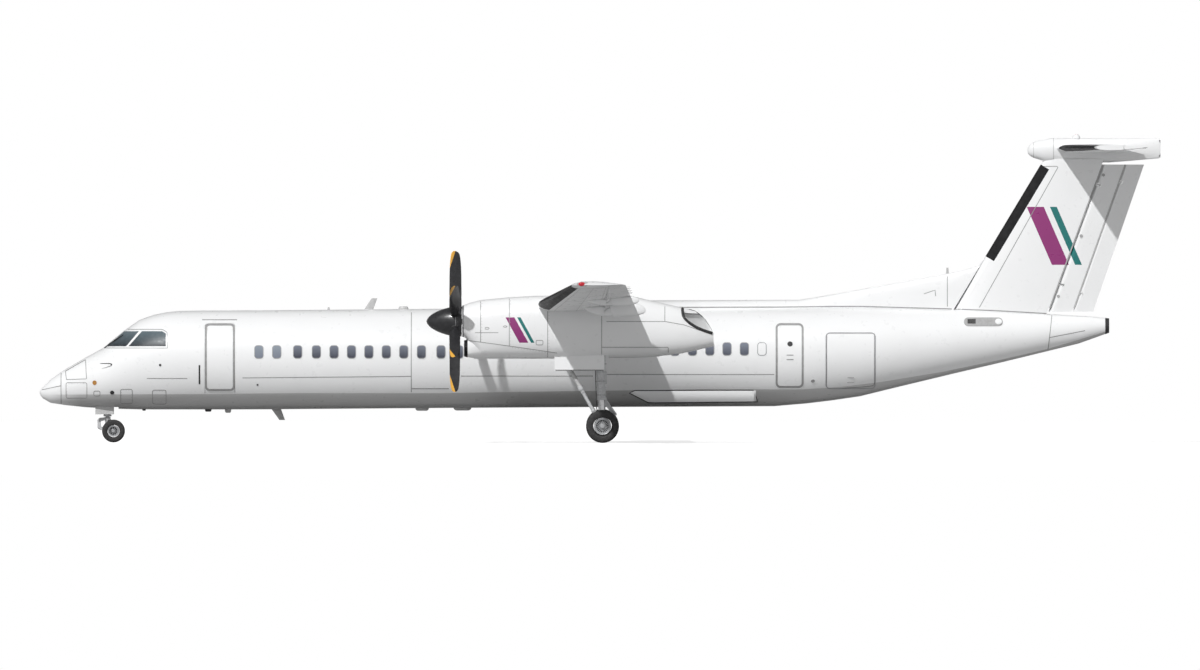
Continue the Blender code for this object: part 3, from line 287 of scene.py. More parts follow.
def propeller_finish():
    """Near-black composite blades with yellow tips, worn leading edges and a dark spinner."""
    paint = Finish("propeller_finish", (0.022, 0.022, 0.024), 0.32, coat=0.3)
    off_axis = paint.minus(paint.calc("ABSOLUTE", paint.y), NACELLE_Y)
    up = paint.minus(paint.z, PROP_Z)
    radius = paint.calc("SQRT", paint.calc("ADD", paint.times(off_axis, off_axis), paint.times(up, up)))
    scuff = paint.spread(paint.noise(7.0, 6), 0.42, 0.80, 0.0, 0.45)
    black = paint.mix(scuff, (0.017, 0.017, 0.019), (0.050, 0.050, 0.054))
    front = paint.minus(paint.x, PROP_X)
    swept = paint.minus(radius, paint.times(front, 3.0))
    yellow = paint.times(paint.above(swept, 1.99), paint.above(radius, 1.4))
    paint.rough(paint.noise(11.0, 4), 0.26, 0.44)
    return paint.done(paint.mix(yellow, black, (0.80, 0.42, 0.055)))


def pane_glass(name, low_z, high_z, low, high, gloss=0.45):
    """Dark tinted glass with a painted reflection that makes it lighter towards its head."""
    paint = Finish(name, low, 0.3, specular=0.2)
    # Painted reflection: the glass runs from its low colour at low_z to its lighter high colour at high_z
    tint_and_painted_reflection = paint.mix(paint.spread(paint.z, low_z, high_z), low, high)
    haze = paint.spread(paint.noise(8.0, 3), 0.45, 0.8, 0.0, 0.12)
    paint.rough(paint.noise(14.0, 2), gloss, gloss + 0.08)
    return paint.done(paint.mix(haze, tint_and_painted_reflection, (0.30, 0.33, 0.36)))


def grained(name, colour, second, rough, metal=0.0, scale=12.0, relief=0.0004):
    """A plain finish with cloudy wear between two tones."""
    paint = Finish(name, colour, rough, metal)
    paint.rough(paint.noise(scale * 2, 3), max(0.05, rough - 0.08), rough + 0.1)
    paint.relief(paint.noise(scale * 9, 2), relief, 0.4)
    return paint.done(paint.mix(paint.spread(paint.noise(scale, 5), 0.35, 0.75), colour, second))


def mix_the_finishes():
    """Every paint, metal, rubber and glass of the aircraft, by its plain name."""
    FINISHES.update(
        fuselage=fuselage_paint(), white=plain_white(), fin=fin_paint(), nacelle=nacelle_paint(), wing=wing_paint(),
        boot=boot_rubber(), propeller=propeller_finish(),
        # Each glass is dark at its foot and lighter at its head by painted reflection
        cabin_glass=pane_glass("cabin_glass", 2.47, 2.86, (0.054, 0.056, 0.075), (0.180, 0.200, 0.250)),
        cabin_glass_light=pane_glass("cabin_glass_light", 2.47, 2.86, (0.190, 0.210, 0.260), (0.260, 0.300, 0.350)),
        windshield=pane_glass("windshield_glass", 2.82, 3.26, (0.030, 0.036, 0.042), (0.110, 0.145, 0.165), 0.30),
        frame=grained("window_frame", (0.36, 0.365, 0.375), (0.28, 0.285, 0.295), 0.4),
        door_frame=grained("door_seal", 0.34, 0.27, 0.5),
        joint=grained("panel_joint", 0.33, 0.26, 0.6),
        dark=grained("dark_metal", (0.035, 0.035, 0.038), 0.065, 0.45, 0.4),
        gear=grained("gear_grey", (0.60, 0.61, 0.62), (0.46, 0.46, 0.47), 0.35),
        pale_grey=grained("pale_grey", 0.52, 0.44, 0.4),
        seam=grained("skin_joint", 0.50, 0.42, 0.5),
        grey_paint=grained("grey_paint", 0.42, 0.34, 0.4),
        hub=grained("hub_grey", (0.42, 0.43, 0.44), (0.30, 0.30, 0.31), 0.35, 0.2),
        steel=grained("bare_steel", (0.46, 0.46, 0.47), (0.34, 0.34, 0.35), 0.30, 0.8),
        chrome=grained("oleo_chrome", (0.72, 0.72, 0.73), (0.60, 0.60, 0.61), 0.12, 0.9),
        rubber=grained("black_rubber", (0.018, 0.018, 0.019), 0.040, 0.6),
        tyre=grained("tyre_rubber", (0.020, 0.020, 0.021), (0.045, 0.043, 0.042), 0.75, 0.0, 16, 0.001),
        amber=grained("amber_paint", (0.50, 0.24, 0.05), (0.40, 0.20, 0.05), 0.4),
        red_lamp=grained("red_lens", (0.60, 0.020, 0.035), (0.45, 0.015, 0.030), 0.12),
        green_lamp=grained("green_lens", (0.020, 0.42, 0.12), (0.015, 0.30, 0.09), 0.12),
        lamp=grained("lamp_glass", (0.75, 0.77, 0.80), (0.62, 0.64, 0.68), 0.10),
        lining=grained("cabin_lining", (0.62, 0.60, 0.56), (0.54, 0.52, 0.49), 0.6),
        carpet=grained("entry_carpet", (0.10, 0.11, 0.13), (0.06, 0.07, 0.08), 0.9, 0.0, 30, 0.001),
    )


# ---------------------------------------------------------------- shapes

def between(table, x):
    """The table's row at x, by straight lines between its stations."""
    for first, second in zip(table, table[1:]):
        if first[0] <= x <= second[0]:
            t = (x - first[0]) / (second[0] - first[0])
            return tuple(a + (b - a) * t for a, b in zip(first, second))
    return table[0] if x < table[0][0] else table[-1]


def smooth_row(table, steps):
    """Rows between the stations of a table, eased so that no station shows."""
    rows = []
    for i, (a, b) in enumerate(zip(table, table[1:])):
        before, after = table[max(i - 1, 0)], table[min(i + 2, len(table) - 1)]
        for t in (k / steps for k in range(steps)):
            rows.append(tuple(
                0.5 * (2 * q + (r - p) * t + (2 * p - 5 * q + 4 * r - s) * t * t + (3 * q - p - 3 * r + s) * t**3)
                for p, q, r, s in zip(before, a, b, after)))
    return rows + [table[-1]]


def once_round(count, power=1.0):
    """Sine and cosine pairs once round; a power below 1 squares the circle off."""
    turns = [2 * math.pi * i / count for i in range(count)]
    return [[math.copysign(abs(v) ** power, v) for v in (math.sin(a), math.cos(a))] for a in turns]


def oval_ring(x, top, bottom, half, y=0.0, count=32, power=1.0):
    middle, height = (top + bottom) / 2, (top - bottom) / 2
    return [(x, y + half * s, middle + height * c) for s, c in once_round(count, power)]


def foil(t):
    """Half thickness of an aerofoil at a share of its chord, from the usual formula."""
    return 0.2969 * math.sqrt(t) - 0.1260 * t - 0.3516 * t**2 + 0.2843 * t**3 - 0.1030 * t**4


def loft(rings):
    """Skin rings that have the same number of points, closed at both ends."""
    count, last = len(rings[0]), (len(rings) - 1) * len(rings[0])
    faces = [[a + i, a + (i + 1) % count, a + count + (i + 1) % count, a + count + i]
             for a in range(0, last, count) for i in range(count)]
    ends = [list(range(count))[::-1], list(range(last, last + count))]
    return [p for ring in rings for p in ring], faces + ends


def turned(profile, origin, axis, count=48):
    """A closed (along, radius) profile turned about an axis."""
    axis, origin, size = Vector(axis).normalized(), Vector(origin), len(profile)
    side = axis.orthogonal().normalized()
    other = axis.cross(side)
    points = []
    for s, c in once_round(count):
        out = side * c + other * s
        points += [tuple(origin + axis * along + out * radius) for along, radius in profile]
    rings = [(i * size, (i + 1) % count * size) for i in range(count)]
    return points, [[a + k, b + k, b + (k + 1) % size, a + (k + 1) % size] for a, b in rings for k in range(size)]


def bar(path, radius, count=12):
    """A round bar, pipe or hose along a path of points."""
    path = [Vector(p) for p in path]
    radii = radius if isinstance(radius, (list, tuple)) else [radius] * len(path)
    side = (path[1] - path[0]).orthogonal().normalized()
    rings = []
    for i, point in enumerate(path):
        ahead = path[min(i + 1, len(path) - 1)] - path[max(i - 1, 0)]
        ahead.normalize()
        side = (side - ahead * side.dot(ahead)).normalized()
        other = ahead.cross(side)
        rings.append([tuple(point + radii[i] * (c * side + s * other)) for s, c in once_round(count)])
    return loft(rings)


def block(x0, x1, y0, y1, z0, z1):
    return loft([[(x, y0, z0), (x, y1, z0), (x, y1, z1), (x, y0, z1)] for x in (x0, x1)])


def joined(*shapes):
    """Several closed shapes as one."""
    points, faces = [], []
    for some_points, some_faces in shapes:
        start = len(points)
        points.extend(some_points)
        faces.extend([start + i for i in face] for face in some_faces)
    return points, faces


def cleaned(mesh, merge=None, outward=True, bevel=0.0):
    """Merge a mesh's close points, turn its faces outward and bevel its sharp edges."""
    work = bmesh.new()
    work.from_mesh(mesh)
    if merge:
        bmesh.ops.remove_doubles(work, verts=work.verts, dist=merge)
    if outward:
        bmesh.ops.recalc_face_normals(work, faces=work.faces)
    if bevel:
        sharp = [e for e in work.edges if e.is_manifold and e.calc_face_angle() > 0.6]
        bmesh.ops.bevel(work, geom=sharp, offset=bevel, segments=2, profile=0.5, affect="EDGES")
    work.to_mesh(mesh)
    work.free()


def mesh_of(name, points, edges, faces):
    mesh = bpy.data.meshes.new(name)
    mesh.from_pydata([tuple(p) for p in points], edges, faces)
    return mesh


def placed(name, mesh):
    made = bpy.data.objects.new(name, mesh)
    bpy.context.scene.collection.objects.link(made)
    return made


def shade(mesh, true_normal=None, crease=32):
    """Smooth the shading across seams, or take it from the body's true curve."""
    mesh.shade_smooth()
    limit = math.cos(math.radians(crease))
    round_vertex = [[] for _ in mesh.vertices]
    for polygon in mesh.polygons:
        for vertex in polygon.vertices:
            round_vertex[vertex].append((polygon.normal.copy(), polygon.area))
    normals = []
    for polygon in mesh.polygons:
        flat = polygon.normal
        for loop in polygon.loop_indices:
            vertex = mesh.loops[loop].vertex_index
            true = true_normal(mesh.vertices[vertex].co) if true_normal else None
            if true is not None and true.dot(flat) > 0.95:
                normals.append(true)
                continue
            total = Vector()
            for normal, area in round_vertex[vertex]:
                if normal.dot(flat) > limit:
                    total += normal * area
            normals.append(total.normalized() if total.length > 0 else flat)
    mesh.normals_split_custom_set(normals)


def piece(name, shape, finish, body="airframe", crease=32, bevel=0.0):
    """A new piece from (points, faces), faces outward, riding on a body."""
    mesh = mesh_of(name, shape[0], [], shape[1])
    cleaned(mesh, 1e-5, bevel=bevel)
    shade(mesh, crease=crease)
    made = placed(name, mesh)
    mesh.materials.append(FINISHES[finish])
    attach(made, body)
    return made


def section_normal(table, centre_y=0.0, power=2.0):
    """True outward direction of a body's skin, from its table of sections."""

    def depth(x, y, z):
        _, top, bottom, half = between(table, x)
        middle = (top + bottom) / 2
        across, up = abs(y - centre_y) / half, abs(z - middle) * 2 / (top - bottom)
        return across**power + up**power

    first, last, step = table[0][0], table[-1][0], 1e-3

    def normal(p):
        reach = max(0.004, min(0.10, 0.01 + 0.05 * (p.x - first), 0.01 + 0.05 * (last - p.x)))
        return Vector((
            (depth(p.x + reach, p.y, p.z) - depth(p.x - reach, p.y, p.z)) / (2 * reach),
            (depth(p.x, p.y + step, p.z) - depth(p.x, p.y - step, p.z)) / (2 * step),
            (depth(p.x, p.y, p.z + step) - depth(p.x, p.y, p.z - step)) / (2 * step),
        )).normalized()

    return normal


def body_of_node(node):
    for name, nodes in frame["record"]["behaviour"]["bodies"].items():
        if node in nodes:
            return name
    return "airframe"


def dressed(node, finish, true_normal=None):
    """A CAD solid with its loose triangles merged and its shading smoothed, in its own finish."""
    mesh = frame["nodes"][node].data.copy()
    mesh.name = f"{node}_skin"
    cleaned(mesh, 1e-5, outward=False)
    mesh.materials.clear()
    mesh.materials.append(FINISHES[finish])
    for polygon in mesh.polygons:
        polygon.material_index = 0
    shade(mesh, true_normal)
    made = placed(f"{node}_skin", mesh)
    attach(made, body_of_node(node))
    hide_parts(node)


# ---------------------------------------------------------------- laid on the skin

class Tree(Steps):
    """A Geometry Nodes tree with named inputs, each given by its default value or by its kind."""

    def __init__(self, name, **inputs):
        super().__init__(bpy.data.node_groups.new(name, "GeometryNodeTree"))
        self.keys = {}
        kinds = {float: "Float", int: "Int", tuple: "Vector"}
        self.socket("Geometry", "INPUT", "Geometry")
        for label, value in inputs.items():
            socket = self.socket(label, "INPUT", value if isinstance(value, str) else kinds[type(value)])
            if not isinstance(value, str):
                socket.default_value = value
            self.keys[label] = socket.identifier
        self.socket("Geometry", "OUTPUT", "Geometry")
        self.input = self.tree.nodes.new("NodeGroupInput")
        self.output = self.tree.nodes.new("NodeGroupOutput")

    def socket(self, label, way, kind):
        return self.tree.interface.new_socket(label, in_out=way, socket_type=f"NodeSocket{kind}")

    def feed(self, socket, value):
        """Feed a socket; a name stands for one of the tree's own inputs."""
        super().feed(socket, self.input.outputs[value] if isinstance(value, str) else value)

    def add(self, kind, **named):
        return self.step(f"GeometryNode{kind}", **named)

    def vector(self, **named):
        return self.step("ShaderNodeCombineXYZ", **named)

    def repeat(self, points, instance, **named):
        """Real copies of a shape at every point."""
        copies = self.add("InstanceOnPoints", Points=points, Instance=instance, **named)
        return self.add("RealizeInstances", Geometry=copies)

    def spaced_line(self):
        """The drawn lines, with points at even spacing."""
        curve = self.add("MeshToCurve", Mesh="Geometry")
        return self.add("ResampleCurve", mode="LENGTH", Curve=curve, Length="Spacing")

    def strip_along(self, curve, width, height, **named):
        """A flat strip that follows a curve, level with the layout."""
        level = self.add("SetCurveNormal", mode="Z_UP", Curve=curve)
        strip = self.add("CurvePrimitiveQuadrilateral", Width=width, Height=height)
        return self.add("CurveToMesh", Curve=level, Profile_Curve=strip, **named)

    def coat(self, geometry, finish="Finish"):
        return self.add("SetMaterial", Geometry=geometry, Material=finish)

    def lay_on_skin(self, flat, plan=False):
        """Fold a flat layout (along, up, out) on to the skin, or (along, across, out) in plan."""
        across, up = ("Z", "Y") if plan else ("Y", "Z")
        along, level, out = self.step("ShaderNodeSeparateXYZ", self.add("InputPosition")).outputs
        start = self.vector(**{"X": along, across: "Start", up: level})
        aim = self.vector(**{across: "Toward"})
        skin = self.add("ObjectInfo", Object="Skin").outputs["Geometry"]
        hit = self.add("Raycast", Target_Geometry=skin, Source_Position=start, Ray_Direction=aim, Ray_Length=30.0)
        lift = self.step("ShaderNodeVectorMath", hit.outputs["Hit Normal"], operation="SCALE", Scale=out)
        total = self.step("ShaderNodeVectorMath", hit.outputs["Hit Position"], lift, operation="ADD")
        missed = self.step("FunctionNodeBooleanMath", hit.outputs["Is Hit"], operation="NOT")
        kept = self.add("DeleteGeometry", Geometry=flat, Selection=missed)
        return self.add("SetPosition", Geometry=kept, Position=total)

    def end(self, geometry):
        self.feed(self.output.inputs[0], geometry)
        return self

    def finish(self, geometry):
        """End the tree in real geometry with its material."""
        return self.end(self.coat(self.add("RealizeInstances", Geometry=geometry)))


ON_SKIN = dict(Skin="Object", Start=-9.0, Toward=1.0, Finish="Material")


def seam_tree(plan=False):
    """Strips of a width and height that follow lines drawn on a skin."""
    tree = Tree("seam_in_plan" if plan else "seam_on_skin", Width=0.02, Depth=0.004, Spacing=0.12, **ON_SKIN)
    swept = tree.strip_along(tree.spaced_line(), "Width", "Depth", Fill_Caps=True)
    return tree.finish(tree.lay_on_skin(swept, plan))


def rivet_tree():
    """Small domed screws spaced along lines on a skin."""
    tree = Tree("rivets_on_skin", Spacing=0.08, Radius=0.007, Proud=0.004, **ON_SKIN)
    head = tree.add("MeshCone", fill_type="NGON", Vertices=10, Radius_Bottom="Radius",
                    Radius_Top=tree.times("Radius", 0.55), Depth="Proud")
    return tree.finish(tree.lay_on_skin(tree.repeat(tree.spaced_line(), head)))


def window_tree():
    """Framed panes with rounded corners, one at each point of a row."""
    tree = Tree("window_row", Width=0.25, Height=0.37, Corner=0.08, Frame=0.02, Proud=0.024, Glass="Material",
                **ON_SKIN)
    box = tree.add("CurvePrimitiveQuadrilateral", Width="Width", Height="Height")
    outline = tree.add("FilletCurve", mode="POLY", Curve=box, Radius="Corner", Count=5)
    spaced = tree.add("ResampleCurve", mode="COUNT", Curve=outline, Count=40)
    ring = tree.coat(tree.strip_along(spaced, "Frame", "Proud"))
    low = tree.add("FillCurve", mode="NGONS", Curve=spaced)
    high = tree.add("ExtrudeMesh", Mesh=low, Offset=tree.vector(Z=0.008))
    flipped = tree.add("FlipFaces", Mesh=low)
    shell, one = tree.add("JoinGeometry"), tree.add("JoinGeometry")
    for part in (high, flipped):
        tree.feed(shell.inputs[0], part)
    closed = tree.add("MergeByDistance", Geometry=shell, Distance=0.0001)
    pane = tree.coat(tree.add("SubdivideMesh", Mesh=closed, Level=2), "Glass")
    for part in (ring, pane):
        tree.feed(one.inputs[0], part)
    return tree.end(tree.lay_on_skin(tree.repeat("Geometry", one)))


def radial_tree(name, bars=False):
    """A ring of bars or bolts round an axle."""
    tree = Tree(name, Count=10, Ring=0.1, Size=(0.02, 0.02, 0.02), Centre=(0.0, 0.0, 0.0), Finish="Material")
    circle = tree.add("MeshCircle", Vertices="Count", Radius="Ring")
    if bars:
        one = tree.add("MeshCube", Size="Size")
    else:
        radius, _, depth = tree.step("ShaderNodeSeparateXYZ", "Size").outputs
        one = tree.add("MeshCylinder", Vertices=6, Radius=radius, Depth=depth)
    share = tree.calc("DIVIDE", tree.add("InputIndex"), "Count")
    turn = tree.step("FunctionNodeEulerToRotation", tree.vector(Z=tree.times(share, 2 * math.pi)))
    ring = tree.repeat(circle, one, Rotation=turn)
    return tree.finish(tree.add("Transform", Geometry=ring, Rotation=(math.radians(90), 0.0, 0.0),
                                Translation="Centre"))


def grown(name, tree, layout, body="airframe", true_normal=None, **values):
    """Run a tree on a layout, keep the result as a plain mesh and let it ride on a body."""
    points, edges = layout
    mesh = mesh_of(name, [p if len(p) == 3 else (*p, 0.0) for p in points], edges, [])
    seed = placed(name, mesh)
    modifier = seed.modifiers.new(name, "NODES")
    modifier.node_group = tree.tree
    for label, value in values.items():
        modifier[tree.keys[label]] = FINISHES[value] if isinstance(value, str) else value
    result = bpy.data.meshes.new_from_object(seed.evaluated_get(bpy.context.evaluated_depsgraph_get()))
    seed.modifiers.clear()
    result.name = name
    cleaned(result, 1e-6)
    shade(result, true_normal)
    seed.data = result
    bpy.data.meshes.remove(mesh)
    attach(seed, body)


def from_side(skin, side, centre=0.0, reach=9.0):
    """Inputs of a tree that lays its work on a skin from one side."""
    return dict(Skin=skin, Start=centre + side * reach, Toward=-float(side))


def lines(*paths, closed=False):
    """Points and edges of one or more drawn lines."""
    points, edges = [], []
    for path in paths:
        start = len(points)
        points.extend(path)
        edges.extend((start + i, start + i + 1) for i in range(len(path) - 1))
        if closed:
            edges.append((start + len(path) - 1, start))
    return points, edges


def rounded(x0, x1, z0, z1, radius, steps=5):
    """Outline of a rounded rectangle in side view."""
    outline = []
    for cx, cz, first in ((x1 - radius, z1 - radius, 0), (x0 + radius, z1 - radius, 90),
                          (x0 + radius, z0 + radius, 180), (x1 - radius, z0 + radius, 270)):
        for i in range(steps + 1):
            angle = math.radians(first + 90 * i / steps)
            outline.append((cx + radius * math.cos(angle), cz + radius * math.sin(angle)))
    return outline


def plain_hull():
    """A plain surface of the fuselage that layouts are folded on to; it is taken away at the end."""
    points, faces = loft([oval_ring(*row) for row in HULL])
    mesh = mesh_of("plain_hull", points, [], faces)
    work = bmesh.new()
    work.from_mesh(mesh)
    bmesh.ops.triangulate(work, faces=work.faces)
    bmesh.ops.recalc_face_normals(work, faces=work.faces)
    work.to_mesh(mesh)
    work.free()
    return placed("plain_hull", mesh)


def joined_skin(name, nodes):
    """A helper surface made from some CAD solids."""
    mesh = bpy.data.meshes.new(name)
    work = bmesh.new()
    for node in nodes:
        work.from_mesh(frame["nodes"][node].data)
    work.to_mesh(mesh)
    work.free()
    return placed(name, mesh)


def cover(name, node, cuts, thick, finish):
    """A thin layer over the part of a CAD solid that lies behind every cut plane."""
    work = bmesh.new()
    work.from_mesh(frame["nodes"][node].data)
    bmesh.ops.remove_doubles(work, verts=work.verts, dist=1e-5)
    for point, out in cuts:
        bmesh.ops.bisect_plane(work, geom=work.verts[:] + work.edges[:] + work.faces[:], dist=1e-6,
                               plane_co=Vector(point), plane_no=Vector(out), clear_outer=True)
    work.normal_update()
    work.verts.index_update()
    size = len(work.verts)
    points = [tuple(v.co + v.normal * depth) for depth in (thick, -0.0015) for v in work.verts]
    faces = []
    for face in work.faces:
        ring = [v.index for v in face.verts]
        faces += [ring, [i + size for i in ring[::-1]]]
    for edge in work.edges:
        if edge.is_boundary:
            a, b = (v.index for v in edge.verts)
            faces.append([b, a, a + size, b + size])
    work.free()
    piece(name, (points, faces), finish)


# ---------------------------------------------------------------- fuselage fittings

def hull_point(x, z, side, out=0.0):
    """A place on the fuselage skin, and its outward direction."""
    _, top, bottom, half = between(HULL, x)
    share = max(-0.999, min(0.999, (z - (top + bottom) / 2) / ((top - bottom) / 2)))
    on_skin = Vector((x, side * half * math.sqrt(1 - share * share), z))
    normal = section_normal(HULL)(on_skin)
    return on_skin + normal * out, normal


def patch(row, edges, side, lift, sunk=0.02, steps=8):
    """A raised panel on the fuselage skin between a lower and an upper edge, closed all round."""
    rings = []
    for i, x in enumerate(row):
        low, high = edges(x)
        end = min(i, len(row) - 1 - i)
        heights = [(low + (high - low) * k / steps, min(k, steps - k)) for k in range(steps + 1)]
        outer = [tuple(hull_point(x, z, side, lift if rim and end else lift * 0.35)[0]) for z, rim in heights]
        rings.append(outer + [tuple(hull_point(x, z, side, -sunk)[0]) for z, _ in heights[::-1]])
    return loft(rings)


def blade_aerial(x0, x1, z0, x2, x3, z1, thick=0.024):
    """A swept aerial blade from its foot (x0..x1 at z0) to its tip (x2..x3 at z1)."""
    return loft([[((first + last) / 2 - (last - first) / 2 * c, half * s, z) for s, c in once_round(12)]
                 for first, last, z, half in ((x0, x1, z0, thick / 2), (x2, x3, z1, thick / 4))])


def blister(x0, x1, half, z_root, z_end):
    """A low streamlined blister above or below the fuselage."""
    return loft([[((x0 + x1) / 2 + (x1 - x0) / 2 * grow * c, half * grow * s, z_root + (z_end - z_root) * share)
                  for s, c in once_round(20, 0.75)]
                 for share, grow in ((0.0, 1.0), (0.45, 0.97), (0.8, 0.86), (1.0, 0.66))])


def build_aerials():
    """Aerials on the crown and the keel, and the blisters and drain masts of the belly."""
    for name, shape, finish in (
        ("crown_aerial_small", blade_aerial(-7.995, -7.905, 3.870, -7.970, -7.925, 3.962), "pale_grey"),
        ("crown_aerial", blade_aerial(-6.925, -6.650, 3.870, -6.690, -6.520, 4.224, 0.030), "pale_grey"),
        ("crown_dome", blister(-5.905, -5.605, 0.105, 3.870, 3.988), "pale_grey"),
        ("dorsal_aerial", blade_aerial(10.135, 10.225, 4.900, 10.150, 10.205, 5.120), "pale_grey"),
        ("keel_aerial", blade_aerial(-9.630, -9.345, 0.990, -9.390, -9.225, 0.656, 0.030), "grey_paint"),
        ("drain_mast_front", blister(-13.410, -13.300, 0.030, 0.990, 0.928), "dark"),
        ("belly_light", blister(-11.575, -11.375, 0.075, 0.985, 0.899), "dark"),
        ("belly_drain", blister(-10.990, -10.800, 0.050, 0.985, 0.867), "grey_paint"),
        ("belly_blister_front", blister(-5.410, -5.010, 0.130, 1.020, 0.926), "grey_paint"),
        ("belly_blister_rear", blister(-4.290, -3.765, 0.170, 1.025, 0.934), "grey_paint"),
    ):
        piece(name, shape, finish)


def build_probes():
    """Pitot probes, static ports and the small ports of the nose, on both sides."""
    for label, side in SIDES:
        foot, out = hull_point(-14.300, 2.288, side)
        mast_end = foot + out * 0.085 + Vector((-0.035, 0, 0))
        tip = mast_end + Vector((-0.225, 0, 0))
        mast = bar([foot - out * 0.01, foot + out * 0.05, mast_end], [0.026, 0.018, 0.014])
        tube = bar([mast_end + Vector((0.03, 0, 0)), mast_end, tip, tip + Vector((-0.045, 0, 0))],
                   [0.012, 0.014, 0.011, 0.006])
        piece(f"pitot_mast_{label}", mast, "dark")
        piece(f"pitot_tube_{label}", tube, "dark")
        for name, x, z, r, finish in (
            ("static_port", -12.865, 2.267, 0.034, "dark"), ("static_port_low", -10.017, 1.687, 0.028, "dark"),
            ("filler_port", -14.792, 1.749, 0.066, "amber"), ("drain_port", -14.277, 1.459, 0.062, "dark"),
            ("ring_port", 6.232, 1.799, 0.055, "joint"),
        ):
            at, normal = hull_point(x, z, side)
            profile = [(-0.02, AXIS), (0.006, AXIS), (0.006, r * 0.6), (0.003, r * 0.62), (0.003, r * 0.8),
                       (0.010, r * 0.84), (0.010, r * 0.94), (0.004, r), (-0.02, r)]
            piece(f"{name}_{label}", turned(profile, at, normal, 28), finish)


def build_side_fairings():
    """Long raised fairing low on each flank under the wing."""
    row = [0.886, 0.95, 1.021] + [1.2 + 0.2 * i for i in range(17)] + [4.50, 4.56]
    for label, side in SIDES:
        rings = []
        for i, x in enumerate(row):
            low = 1.444 + (1.175 - 1.444) * min(1.0, (x - 0.886) / 0.548)
            low += (1.204 - 1.175) * max(0.0, (x - 1.434) / 3.173)
            high = 1.444 + 0.062 * min(1.0, max(0.0, (x - 0.886) / 0.135)) + 0.009 * max(0.0, x - 1.02) / 3.5
            high = max(high, low + 0.01)
            end = 0.4 if i in (0, len(row) - 1) else 1.0
            face, _ = hull_point(x, high, side, 0.006)
            outer, inner = [], []
            for k in range(9):
                z = low + (high - low) * k / 8
                bulge = 0.020 * math.sin(math.pi * k / 8) * end
                skin_y = hull_point(x, z, side)[0].y
                flush = face.y + (skin_y + side * 0.006 - face.y) * (0.35 + 0.65 * (1 - end))
                outer.append((x, flush + side * bulge, z))
                inner.append((x, skin_y - side * 0.03, z))
            rings.append(outer + inner[::-1])
        piece(f"flank_fairing_{label}", loft(rings), "white")


def build_tail_vent():
    """Outlet of the tail bay: a long rounded frame with a slatted grille at its front."""
    reach = 0.126
    start, stop = 10.653 + reach, 11.795 - reach

    def capsule(x):
        off = max(start - x, x - stop, 0.0)
        half = max(math.sqrt(max(0.0, reach * reach - off * off)), 0.02)
        return 3.530 - half, 3.530 + half

    row = [10.655, 10.67, 10.70, 10.74, 10.78] + [10.9 + 0.1 * i for i in range(7)] + [
        11.60, 11.67, 11.71, 11.75, 11.775, 11.793]
    for label, side in SIDES:
        piece(f"tail_vent_{label}", patch(row, capsule, side, 0.022), "grey_paint")
        for i in range(7):
            ends = [hull_point(10.775 + 0.034 * i, z, side, 0.022)[0] for z in (3.470, 3.592)]
            piece(f"tail_vent_slat_{label}_{i}", bar(ends, 0.016, 8), "rubber")
        cap = [(-0.02, AXIS), (0.016, AXIS), (0.016, 0.070), (0.008, 0.078), (0.010, 0.098), (-0.02, 0.100)]
        piece(f"tail_vent_cap_{label}", turned(cap, *hull_point(11.665, 3.530, side, 0.020), 32), "white")


def build_door_fittings():
    """The round port of the rear door, and the latches of the rear and baggage doors."""
    port = [(-0.01, AXIS), (0.004, AXIS), (0.004, 0.058), (0.012, 0.062), (0.012, 0.074), (-0.01, 0.078)]
    piece("aft_door_port", turned(port, *hull_point(5.559, 2.885, -1), 32), "dark")
    for name, x, z, body in (
        ("aft_latch", 5.559, 2.560, "airframe"), ("aft_latch_low", 5.559, 2.430, "airframe"),
        ("baggage_latch", 7.334, 1.900, "baggage_door"), ("baggage_latch_low", 7.334, 1.760, "baggage_door"),
    ):
        at, _ = hull_point(x, z, -1)
        piece(name, bar([at + Vector((-0.10, 0, 0)), at + Vector((0.10, 0, 0))], 0.012, 12), "joint", body)


def build_wipers():
    """A wiper arm and blade on each windshield."""
    for label, side in SIDES:
        foot, out = hull_point(-14.50, 2.760, side, 0.020)
        head, _ = hull_point(-14.12, 3.040, side, 0.030)
        blade = [hull_point(x, z, side, 0.018)[0] for x, z in ((-14.26, 2.93), (-13.95, 3.14))]
        piece(f"wiper_arm_{label}", bar([foot - out * 0.02, foot, head], [0.014, 0.012, 0.008]), "dark")
        piece(f"wiper_blade_{label}", bar(blade, 0.011, 10), "rubber")


# ---------------------------------------------------------------- wings and tail

def front_strip(near, far, side, inner, outer):
    """Cut planes for a strip of a wing's front edge: behind it, and at both ends."""
    (x0, y0), (x1, y1) = near, far
    aft = Vector((y1 - y0, -(x1 - x0) * side, 0)).normalized()
    return [((x0, side * y0, 0), aft), ((0, side * inner, 0), (0, -side, 0)), ((0, side * outer, 0), (0, side, 0))]


def build_boots():
    """Black de-icing boots on the front edges of wings, tailplane and fin."""
    for label, side in SIDES:
        for name, node, near, far, inner, outer in (
            ("wing_boot", f"wing_{label}", (-1.485, 5.25), (-0.640, 13.70), 5.30, 13.62),
            ("wing_boot_inner", "wing_centre", (-1.520, 1.30), (-1.520, 3.70), 1.62, 3.66),
            ("tail_boot", "tailplane", (13.625, 0.35), (14.590, 4.50), 0.42, 4.40),
        ):
            cover(f"{name}_{label}", node, front_strip(near, far, side, inner, outer), 0.004, "boot")
    low, along = (11.540, 0, 5.308), Vector((0.515, 0, 0.857))
    cover("fin_boot", "fin", [(low, (0.857, 0, -0.515)), (low, -along), ((13.111, 0, 8.021), along)], 0.004, "boot")


def wing_at(y):
    """Front edge, rear edge, chord height and thickness at a distance out."""
    t = max(0.0, min(1.0, (y - 5.050) / (14.210 - 5.050)))
    return -1.818 + 1.067 * t, 0.997 - 0.266 * t, 4.030 + 0.570 * t, 0.165 - 0.035 * t


def wing_middle(y, share):
    """Place of a wing section's middle line at a share of the chord."""
    front, rear, z, thick = wing_at(y)
    return front + (rear - front) * share, z + 0.10 * thick * math.sin(math.pi * share) * (rear - front)


